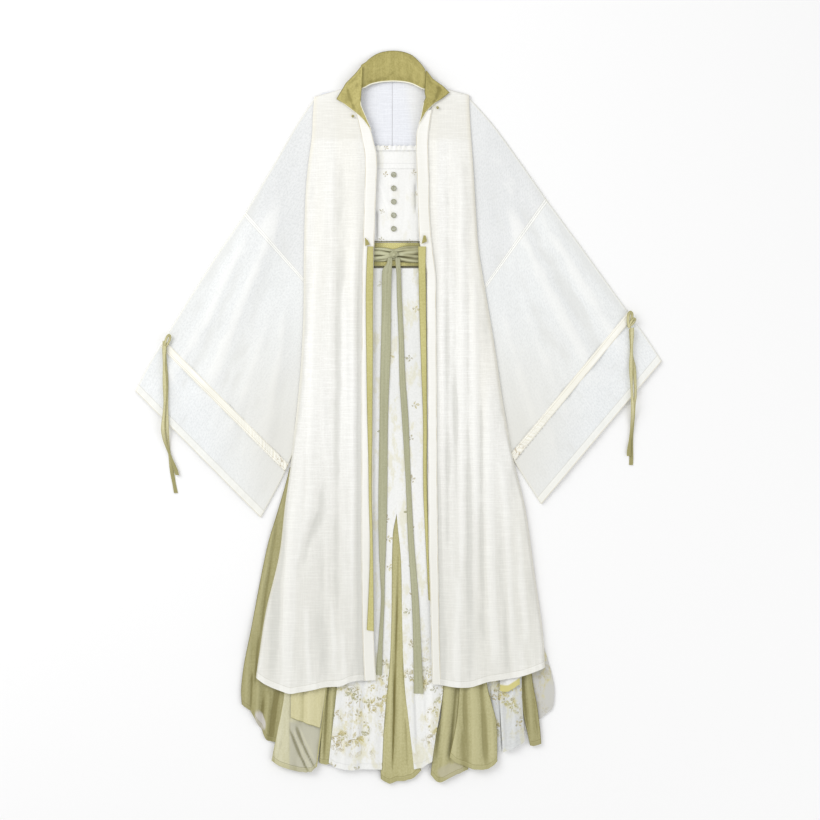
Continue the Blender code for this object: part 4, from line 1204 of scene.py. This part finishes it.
def lapel_shape(outer):
    def shape(grid, m):
        x, y = grid[..., 0], grid[..., 1]
        grid[..., 2] += unevenness(x, y, 0.03, 0.45 * MM, 31, 2)
        grid[..., 2] += 1.3 * creases(x, y, (
            (-112, 650, -70, 680, 3, 0.9, 2), (-96, 622, -62, 640, 2.5, 0.8, -2),
            (-104, 664, -84, 606, 3, -0.8, 2), (94, 656, 60, 676, 3, 0.9, -2),
            (78, 632, 48, 640, 2.5, 0.8, 2), (84, 664, 66, 618, 3, -0.8, -2),
        ))
        grid[..., 2] += 0.5 * MM * (bump(m[outer] - 3 * MM, 2.5 * MM) - bump(m[outer], 1.2 * MM))
        return grid

    return shape


LAPEL_CORNERS = {
    "left": ((-74, 700), (-71, 697), (-56, 574), (-53, 571)),
    "right": ((54, 691), (57, 690), (42, 585), (40, 585)),
}


def lapel_low(x, y):
    """Marks the low end of a lapel, where its edges are cream."""
    return smooth((632 * MM - y) / (8 * MM))


def knot(node, slot, finish, turns, depth):
    """A small wound knot in place of its solid: a squashed ball with sloping grooves."""
    low, high = (np.array(corner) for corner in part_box(node))
    middle, half = (low + high) / 2, (high - low) / 2
    bm = bmesh.new()
    bmesh.ops.create_uvsphere(bm, u_segments=48, v_segments=28, radius=1.0)
    for vertex in bm.verts:
        direction = np.array(vertex.co)
        angle = math.atan2(direction[2], direction[1])
        groove = math.cos(turns * angle + 5.0 * direction[0])
        point = middle + direction * (half - depth * 0.5 + depth * 0.5 * groove)
        vertex.co = np.maximum(point, low)
    piece_of(mesh_from(bm, node + "_cloth"), slot, finish, node)


def make_collar():
    cloth("collar_stand", "collar_cloth", COLLAR, (2.2 * MM, 2.2 * MM), collar_shape, along=True,
          soften=5 * MM, fold=(8 * MM, 1.1 * MM),
          rests_on=["coat_back_left", "coat_back_right"])
    for side in SIDES:
        cloth(f"lapel_{side}", "collar_cloth", LAPEL[side], (2 * MM, 2.2 * MM),
              lapel_shape(OUT_AND_IN[side][0]), curved=(False, False), soften=4 * MM,
              hints=LAPEL_CORNERS[side], fold=(6 * MM, 0.9 * MM), parts=lapel_low,
              rests_on=[f"front_band_{side}"])
        knot(f"collar_knot_{side}", "thread", THREAD, turns=4, depth=0.35 * MM)


# ---------------------------------------------------------------- the bodice and the belt

def ruffle_shape(grid, m):
    gathers = wave(grid[..., 0], 10.5 * MM, 1.1, 47 * MM)
    free = smooth(m["from_hem"] / (9 * MM))
    grid[..., 2] += 1.0 * MM * gathers * (0.15 + 0.85 * free) + 0.5 * MM
    grid[..., 1] += 0.9 * MM * gathers * free
    return grid


def bodice_band_shape(grid, m):
    gathers = wave(grid[..., 0], 6.8 * MM, 1.3, 31 * MM)
    edge = np.minimum(m["from_top"], m["from_hem"])
    grid[..., 2] += 0.28 * MM * gathers * np.exp(-edge / (9 * MM))
    grid[..., 2] += 0.3 * MM * bump(edge - 2 * MM, 1.5 * MM)
    return grid


BODICE_CREASES = (
    (-44, 474, -12, 384, 3.5, 1.9, -5), (-38, 462, -14, 392, 3, -1.0, -5),
    (-60, 480, -46, 356, 7, 0.8, 4), (22, 486, 12, 350, 7, 0.9, -4),
    (-44, 420, -42, 340, 3.5, -1.9, 0), (34, 474, 35, 400, 2.5, -1.6, 1),
    (40, 470, 44, 352, 6, 0.8, 2), (-30, 430, -36, 350, 5, 0.7, 3), (4, 440, 2, 350, 4, 0.5, 0),
)


def bodice_shape(grid, m):
    """A bodice with a buttoned overlap down the front and soft folds into the belt."""
    x, y = grid[..., 0], grid[..., 1]
    grid[..., 2] += creases(x, y, BODICE_CREASES)
    gathers = wave(x, 10.5 * MM, 1.5, 43 * MM)
    grid[..., 2] += 0.35 * MM * gathers * np.exp(-m["from_hem"] / (22 * MM))
    grid[..., 2] += 0.2 * MM * gathers * np.exp(-m["from_top"] / (8 * MM))
    overlap = smooth((x + 18.5 * MM) / (1.2 * MM)) * smooth((0.5 * MM - x) / (1.2 * MM))
    grid[..., 2] += 0.45 * MM * overlap
    return grid


def joined(bm, rings):
    """Rings of vertices at rings of points, with faces from each ring to the next."""
    rings = [[bm.verts.new(point) for point in ring] for ring in rings]
    for near, far in zip(rings, rings[1:]):
        for k in range(len(near)):
            bm.faces.new((near[k - 1], far[k - 1], far[k], near[k]))
    return rings


# Shares of a button's radius and of its height, from the middle of its face to its back.
BUTTON_PROFILE = ((0.42, 0.55), (0.60, 0.62), (0.72, 0.92), (0.82, 1.0), (0.92, 0.94), (0.99, 0.66),
                  (1.0, 0.35), (0.97, 0.0))


def button(node):
    """A turned button with a raised rim and a dished middle."""
    low, high = (np.array(corner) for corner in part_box(node))
    middle, radius = (low + high) / 2, (high[0] - low[0]) / 2
    angle = np.linspace(0, TAU, 56, endpoint=False)
    bm = bmesh.new()
    rings = joined(bm, [
        np.stack([middle[0] + radius * share * np.cos(angle), middle[1] + radius * share * np.sin(angle),
                  np.full_like(angle, low[2] + (high[2] - low[2]) * rise)], axis=1)
        for share, rise in BUTTON_PROFILE])
    bm.faces.new(rings[0])
    bm.faces.new(rings[-1][::-1])
    mesh = mesh_from(bm, node + "_turned")
    points = np.array([v.co for v in mesh.vertices])
    rim = radius - np.linalg.norm(points[:, :2] - middle[:2], axis=1)
    piece_of(mesh, "button", BUTTON, node, {"from_rim": rim, "grain": points}, sharp=50)


def make_bodice():
    cloth("bodice_back", "dress_cloth", LINING, 12 * MM, rests_on=["coat_back_left", "coat_back_right"])
    for side in SIDES:
        cloth(f"strap_{side}", "dress_cloth", BODICE, (3 * MM, 6 * MM), rests_on=[f"coat_back_{side}"])
    cloth("bodice_front", "dress_cloth", BODICE, (1.9 * MM, 3.2 * MM), bodice_shape,
          fold=(7 * MM, 1.5 * MM), rests_on=["bodice_back"])
    cloth("bodice_band", "dress_cloth", BODICE, (1.6 * MM, 2.4 * MM), bodice_band_shape,
          rests_on=["bodice_back"])
    cloth("bodice_ruffle", "dress_cloth", BODICE, (1.2 * MM, 1.4 * MM), ruffle_shape,
          soften=12 * MM, rests_on=["bodice_back"])
    for k in range(1, 6):
        button(f"button_{k}")


KNOT_X = -9 * MM
WRAP_MIDDLE = 323 * MM
# Each pleat of the wrapped sash: its share of the way down, height and half width.
PLEATS = ((0.10, 1.1, 0.05), (0.36, 1.7, 0.12), (0.66, 1.2, 0.05), (0.86, 1.5, 0.07))


def wrap_shape(grid, m):
    """Pleats of the wrapped sash, drawn together at the knot."""
    x, y = grid[..., 0], grid[..., 1]
    away = np.abs(x - KNOT_X)
    share = m["from_top"] / (m["from_top"] + m["from_hem"])
    near = bump(away, 30 * MM)
    narrow = 0.80 + 0.07 * np.tanh((x - KNOT_X) / (20 * MM))
    grid[..., 1] = WRAP_MIDDLE + (y - WRAP_MIDDLE) * (narrow - 0.22 * bump(away, 14 * MM))
    for k, (place, height, half) in enumerate(PLEATS):
        drawn = place + (0.5 - place) * 0.35 * near + 0.06 * np.sin(x / (23 * MM) + k * 2.1)
        grid[..., 2] += (0.7 + 0.5 * near) * height * MM * bump(share - drawn, half)
    grid[..., 2] += unevenness(x, y, 0.012, 0.15 * MM, 41, 4, math.pi / 2)
    return grid


def wrap_right(x, y):
    """Marks the sash to the right of its knot."""
    return smooth((x - KNOT_X - 6 * MM) / (14 * MM))


def tail_shape(seed):
    """A sash tail with two long folds that narrow at the knot."""
    def shape(grid, m):
        share = m["from_left"] / (m["from_left"] + m["from_right"])
        along = m["from_top"]
        phase = np.random.default_rng(seed).uniform(0, 6.3, 3)
        first = 0.32 + 0.10 * np.sin(TAU * along / 0.41 + phase[0])
        second = 0.70 + 0.09 * np.sin(TAU * along / 0.33 + phase[1])
        grid[..., 2] += 1.2 * MM * bump(share - first, 0.13) + 0.8 * MM * bump(share - second, 0.09)
        middle = grid[..., 0].mean(axis=1, keepdims=True)
        narrow = 0.02 + 0.06 * np.sin(TAU * along / 0.52 + phase[0]) ** 2
        grid[..., 0] += (middle - grid[..., 0]) * narrow * smooth(m["from_hem"] / (60 * MM))
        ripple = np.sin(TAU * along / (19 * MM) + 4 * share + phase[2])
        grid[..., 2] += 0.35 * MM * ripple * bump(along, 60 * MM)
        end = smooth((14 * MM - m["from_hem"]) / (14 * MM))
        grid[..., 2] -= 0.3 * MM * end * share
        return grid

    return shape


def cord(node):
    """A two-ply cord along the belt's edge in place of its solid."""
    low, high = (np.array(corner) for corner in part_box(node))
    middle, radius = (low + high) / 2, (high[2] - low[2]) / 2
    count, around, pitch = 300, 20, 7 * MM
    along = np.linspace(low[0], high[0], count)[:, None]
    angle = np.linspace(0, TAU, around, endpoint=False)[None]
    size = radius * (0.80 + 0.20 * np.abs(np.cos(angle - TAU * along / pitch)))
    grid = np.stack([np.repeat(along, around, 1), middle[1] + size * np.cos(angle),
                     middle[2] + size * np.sin(angle)], axis=-1)
    bm = bmesh.new()
    rings = joined(bm, grid)
    for ring, x in ((rings[0], low[0]), (rings[-1], high[0])):
        centre = bm.verts.new((x, *middle[1:]))
        for k in range(around):
            bm.faces.new((ring[k - 1], ring[k], centre))
    bmesh.ops.recalc_face_normals(bm, faces=bm.faces[:])
    piece_of(mesh_from(bm, node + "_cord"), "piping", PIPING, node)


def make_belt():
    cloth("waistband", "belt_cloth", BELT, (3 * MM, 2.5 * MM), rests_on=["bodice_front"])
    for place in ("top", "low"):
        cord(f"belt_piping_{place}")
    cloth("sash_wrap", "sash_cloth", SASH, (2 * MM, 0.9 * MM), wrap_shape, soften=3 * MM,
          fold=(4 * MM, 0.8 * MM), rests_on=["waistband"], parts=wrap_right)
    knot("sash_knot", "sash_cloth", SASH_KNOT, turns=3, depth=1.2 * MM)
    for side, seed in (("left", 3), ("right", 4)):
        cloth(f"sash_tail_{side}", "sash_cloth", TAIL, (1.3 * MM, 5 * MM), tail_shape(seed), along=True,
              soften=5 * MM, fold=(6 * MM, 1.2 * MM), rests_on=[f"skirt_panel_{side}"])


# ---------------------------------------------------------------- the ribbons

def ribbon_shape(twist_from, twist_to):
    """A flat ribbon that folds over itself where it narrows."""
    def shape(grid, m):
        half = (m["from_left"] + m["from_right"]) / 2
        across = (m["from_left"] - half) / half
        y = grid[..., 1]
        twist = smooth((y - twist_from) / 0.06) * smooth((twist_to - y) / 0.06)
        grid[..., 2] += twist * 1.2 * MM * (1 - across ** 2)
        grid[..., 2] += 0.3 * MM * np.sin(TAU * m["from_top"] / 0.17) * across
        grid[..., 2] += 0.2 * MM
        return grid

    return shape


def head_shape(grid, m):
    edge = np.minimum.reduce([m[key] for key in EDGES])
    grid[..., 2] += 0.9 * MM * smooth(edge / (3.5 * MM)) - 0.4 * MM
    return grid


def make_ribbons():
    """Each row: side, where the twist is from and to, what the ribbon lies on."""
    for side, low, high, under in (
        ("left", -0.30, -0.06, ["front_band_left"]),
        ("right", -0.34, -0.02, ["front_band_right", "skirt_panel_right"]),
    ):
        cloth(f"ribbon_{side}", "ribbon_cloth", RIBBON, (1.3 * MM, 5 * MM), ribbon_shape(low, high),
              along=True, soften=8 * MM, rests_on=under)
    for side in SIDES:
        cloth(f"ribbon_head_{side}", "ribbon_cloth", RIBBON_HEAD, 1.3 * MM, head_shape, along=True,
              soften=2 * MM, rests_on=[f"ribbon_{side}"])


# ---------------------------------------------------------------- the skirt

SKIRT_CREASES = {
    "skirt_panel_left": ((-52, 290, -60, -300, 5, 0.6, 3), (-80, 200, -86, -420, 6, 0.7, 0),
                         (-64, -430, -74, -700, 6, -1.6, 3), (-96, -440, -112, -700, 6, 1.8, -2),
                         (-44, -440, -48, -700, 4, 1.2, 2), (-120, -520, -130, -700, 5, 1.4, 0),
                         (-82, -540, -88, -700, 5, 1.5, 2), (-106, -560, -120, -700, 4, -1.2, 0)),
    "skirt_panel_right": ((22, 290, 30, -250, 5, 0.6, -3), (52, 200, 60, -300, 6, 0.7, 0),
                          (36, -380, 46, -700, 5, 1.6, 3), (66, -440, 62, -700, 5, 1.4, -2),
                          (52, -480, 56, -700, 4, -1.4, 0), (30, -500, 38, -690, 3, -1.0, 0)),
    "skirt_godet_centre": ((1, -240, -14, -735, 1.5, -3.4, 0), (-5, -300, -22, -718, 4, 2.2, 1),
                           (7, -330, 2, -715, 5, 1.8, 0), (-11, -450, -9, -580, 1.7, -1.3, 0),
                           (17, -560, 25, -705, 4, 0.8, 0), (13, -580, 20, -715, 3, -1.5, 0),
                           (-27, -600, -31, -715, 3, 1.2, 0)),
    "skirt_godet_far_left": (
        (-232, -130, -291, -448, 3.5, 2.2, 3), (-240, -200, -283, -460, 2.6, -1.9, 2),
        (-252, -270, -301, -440, 3, 1.6, 2), (-279, -430, -288, -530, 3, -2.6, 0),
        (-297, -430, -307, -566, 4.5, 2.8, 0), (-292, -500, -297, -590, 3, -2.6, 0),
        (-279, -520, -284, -622, 5, 3.0, 0), (-270, -560, -276, -640, 2.2, -2.4, 0),
        (-258, -530, -268, -646, 5, 3.0, 0), (-238, -520, -261, -655, 5.5, -4.2, 0),
        (-226, -540, -246, -655, 4, 2.6, 0),
    ),
    "skirt_godet_right": ((104, -490, 84, -722, 8, 4.2, 2), (88, -490, 73, -680, 5, -2.8, 0),
                          (119, -500, 99, -700, 4, -3.2, 0), (96, -600, 78, -722, 2.4, -1.6, 0),
                          (124, -600, 122, -712, 5, 2.0, 0)),
    "skirt_godet_far_right": ((244, -480, 262, -650, 3, -2.4, 0), (252, -470, 272, -650, 4, 2.6, 0),
                              (264, -500, 281, -636, 2.4, -1.8, 0), (236, -470, 250, -600, 3, 1.5, 0)),
    "skirt_stripe_left": ((-139, -490, -151, -690, 2.2, -2.4, 0), (-129, -480, -140, -690, 4, 2.2, 0),
                          (-148, -500, -155, -690, 3, 2.0, 0)),
    "skirt_stripe_right": ((184, -460, 196, -670, 3.4, 1.6, 0), (178, -470, 188, -650, 2.4, -1.4, 0)),
    "skirt_overlay_left": ((-219, -618, -168, -702, 2.0, -3.0, 3), (-212, -616, -164, -694, 1.8, 2.6, 3),
                           (-206, -614, -160, -684, 2.0, -3.0, 3), (-200, -612, -156, -672, 1.8, 1.8, 3),
                           (-228, -540, -246, -692, 6, 2.2, 0),
                           (-216, -560, -219, -680, 2.4, -0.8, 0), (-232, -640, -244, -668, 3, -1.4, 0),
                           (-146, -470, -154, -690, 3, 1.6, 0), (-186, -640, -200, -700, 5, 0.9, 2)),
    "skirt_overlay_fold": ((-200, -470, -202, -604, 4, 1.2, 0), (-176, -470, -182, -616, 6, 1.4, 0),
                           (-154, -470, -160, -616, 4, 1.2, 0), (-188, -480, -192, -610, 2.4, -1.0, 0)),
    "skirt_panel_far_right": ((222, -460, 234, -655, 5, 1.6, 0), (208, -500, 216, -665, 4, -1.6, 0),
                              (240, -520, 246, -650, 3, 1.2, 0), (228, -560, 222, -650, 2, -0.9, 2)),
    "skirt_overlay_right": ((216, -460, 220, -545, 5, 1.4, 0), (233, -460, 236, -540, 4, 1.0, 0)),
    "skirt_flap_right": ((160, -480, 174, -706, 7, -4.6, -2), (143, -480, 152, -712, 8, 3.6, 0),
                         (181, -500, 193, -706, 6, 3.6, 0), (122, -500, 113, -700, 6, 3.0, 2),
                         (125, -580, 136, -660, 1.6, 1.5, 0), (133, -520, 130, -700, 3, -1.6, 0)),
    "skirt_back": ((270, -380, 296, -560, 5, 1.6, 0), (284, -420, 304, -540, 3, 1.0, 0)),
}
FAR_CORNERS = {
    "skirt_godet_far_left": ((-217, -100), (-197, -100), (-313, -574), (-243, -648)),
    "skirt_godet_right": ((95, -446), (151, -446), (64, -714), (139, -704)),
}


OVER_BACK = 3.3 * MM  # the lowest that a fold comes where it lies on the skirt's back
PAST_END = 30  # how much lower than its row says a crease ends, in millimetres


def skirt_shape(node, flute):
    """Long folds that open towards the hem, where they carry the hem a little up and down."""
    def shape(grid, m):
        x, y = grid[..., 0], grid[..., 1]
        low = smooth((120 * MM - m["from_hem"]) / (120 * MM))
        least = np.minimum(grid[..., 2], OVER_BACK)
        rows = [(*row[:3], row[3] - PAST_END, *row[4:]) for row in SKIRT_CREASES.get(node, ())]
        folds = creases(x, y, rows)
        folds += low * unevenness(x, y, 0.022, flute, 51, 8)
        grid[..., 2] += folds + unevenness(x, y, 0.012, 0.08 * MM, 52, 3) + 1.0 * MM * low
        grid[..., 1] -= 0.9 * folds * low
        if node == "skirt_panel_left":
            under = bump(m["from_right"], 5 * MM)
            under = under * smooth((y + 236 * MM) / (60 * MM))
            grid[..., 2] -= 0.9 * MM * under
            grid[..., 0] += (3 * MM + 5 * MM * smooth((-90 * MM - y) / (70 * MM))) * under
        if node == "skirt_overlay_right":
            grid[..., 1] += 6 * MM * low * (((x - 216 * MM) / (18 * MM)) ** 2).clip(0, 1.4)
        grid[..., 2] -= 0.2 * MM * bump(m["from_hem"] - 8 * MM, 1.1 * MM)
        for side in ("from_left", "from_right"):
            grid[..., 2] -= 0.3 * MM * bump(m[side], 1.4 * MM)
        grid[..., 2] = np.maximum(grid[..., 2], least)
        return grid

    return shape


def oval(x, y, middle, half, turn=0.0):
    """1 inside an oval patch, soft at its rim; millimetres."""
    dx, dy = x / MM - middle[0], y / MM - middle[1]
    c, s = math.cos(turn), math.sin(turn)
    away = np.hypot((dx * c + dy * s) / half[0], (dy * c - dx * s) / half[1])
    return smooth((1.12 - away) / 0.2)


SKIRT_PARTS = {
    "skirt_back": lambda x, y: smooth((x - 236 * MM) / (6 * MM)),
    "skirt_godet_far_left": lambda x, y: oval(x, y, (-276, -606), (9, 19), 0.35),
    "skirt_godet_right": lambda x, y: oval(x, y, (104, -706), (26, 14), 0.2),
    "skirt_overlay_left": lambda x, y: (smooth((x + 220 * MM) / (5 * MM))
                                        * smooth((-604 * MM - y) / (8 * MM))),
}
FINE = ("skirt_godet_centre", "skirt_stripe_left", "skirt_overlay_left")


def make_skirt():
    """Each row: piece, slot, finish, what it lies on."""
    cloth("skirt_back", "dress_cloth", LINING, (5 * MM, 8 * MM), skirt_shape("skirt_back", 0.1 * MM),
          ends=(0, 0, 0, 12 * MM), parts=SKIRT_PARTS["skirt_back"],
          rests_on=["coat_back_left", "coat_back_right", "floor"])
    for node, slot, finish, under in (
        ("skirt_godet_centre", "godet_cloth", GODET, "skirt_back"),
        ("skirt_godet_far_left", "godet_cloth", GODET_DEEP, "skirt_back"),
        ("skirt_godet_right", "godet_cloth", GODET_PALE, "skirt_back"),
        ("skirt_godet_far_right", "godet_cloth", GODET_DEEP, "skirt_back"),
        ("skirt_stripe_left", "godet_cloth", GODET_PALE, "skirt_back"),
        ("skirt_panel_left", "dress_cloth", PRINT, "skirt_godet_centre"),
        ("skirt_panel_right", "dress_cloth", PRINT, "skirt_godet_centre"),
        ("skirt_overlay_left", "overlay_cloth", OVERLAY, "skirt_back"),
        ("skirt_overlay_fold", "overlay_cloth", OVERLAY_FOLD, "skirt_overlay_left"),
        ("skirt_stripe_right", "dress_cloth", PRINT_DARK, "skirt_back"),
        ("skirt_panel_far_right", "dress_cloth", PRINT_DARK, "skirt_back"),
        ("skirt_overlay_right", "overlay_cloth", FACING, "skirt_panel_far_right"),
        ("skirt_flap_right", "godet_cloth", GODET_PALE, "skirt_godet_right"),
    ):
        across = 1.3 * MM if node in FINE else 2.6 * MM
        cloth(node, slot, finish, (across, 4.5 * MM), skirt_shape(node, 0.35 * MM),
              ends=(0, 0, 0, 11 * MM), rests_on=[under], hints=FAR_CORNERS.get(node),
              parts=SKIRT_PARTS.get(node), soften=7 * MM,
              fold=(9 * MM, 1.5 * MM) if node == "skirt_overlay_left" else (12 * MM, 2.6 * MM))


# ---------------------------------------------------------------- the studio

def make_studio():
    scene = bpy.context.scene
    camera = bpy.data.cameras.new("camera")
    camera.lens, camera.sensor_width = LENS, SENSOR
    camera.clip_end = 100.0
    seen_from = bpy.data.objects.new("camera", camera)
    seen_from.location = (*AIM, FIELD * LENS / SENSOR)
    scene.collection.objects.link(seen_from)
    scene.camera = seen_from

    bpy.ops.mesh.primitive_plane_add(size=60.0, location=(0, 0, -0.3 * MM))
    floor = bpy.context.object
    floor.name = "floor"
    floor.data.materials.append(FLOOR)

    for name, place, size, power in (
        ("window light", (-2.4, 1.6, 2.3), 2.2, 60.0), ("fill light", (2.6, -1.4, 2.8), 2.6, 30.0),
    ):
        light = bpy.data.lights.new(name, "AREA")
        light.shape, light.size, light.energy = "SQUARE", size, power
        made = bpy.data.objects.new(name, light)
        made.location = place
        made.rotation_euler = (-Vector(place)).to_track_quat("-Z", "Y").to_euler()
        scene.collection.objects.link(made)
    world = bpy.data.worlds.new("studio")
    world.use_nodes = True
    sky = world.node_tree.nodes["Background"]
    sky.inputs["Color"].default_value = (1.0, 1.0, 1.0, 1.0)
    sky.inputs["Strength"].default_value = 0.74
    scene.world = world
    scene.view_settings.view_transform = "Standard"


make_studio()
make_coat()
make_sleeves()
make_collar()
make_bodice()
make_belt()
make_ribbons()
make_skirt()
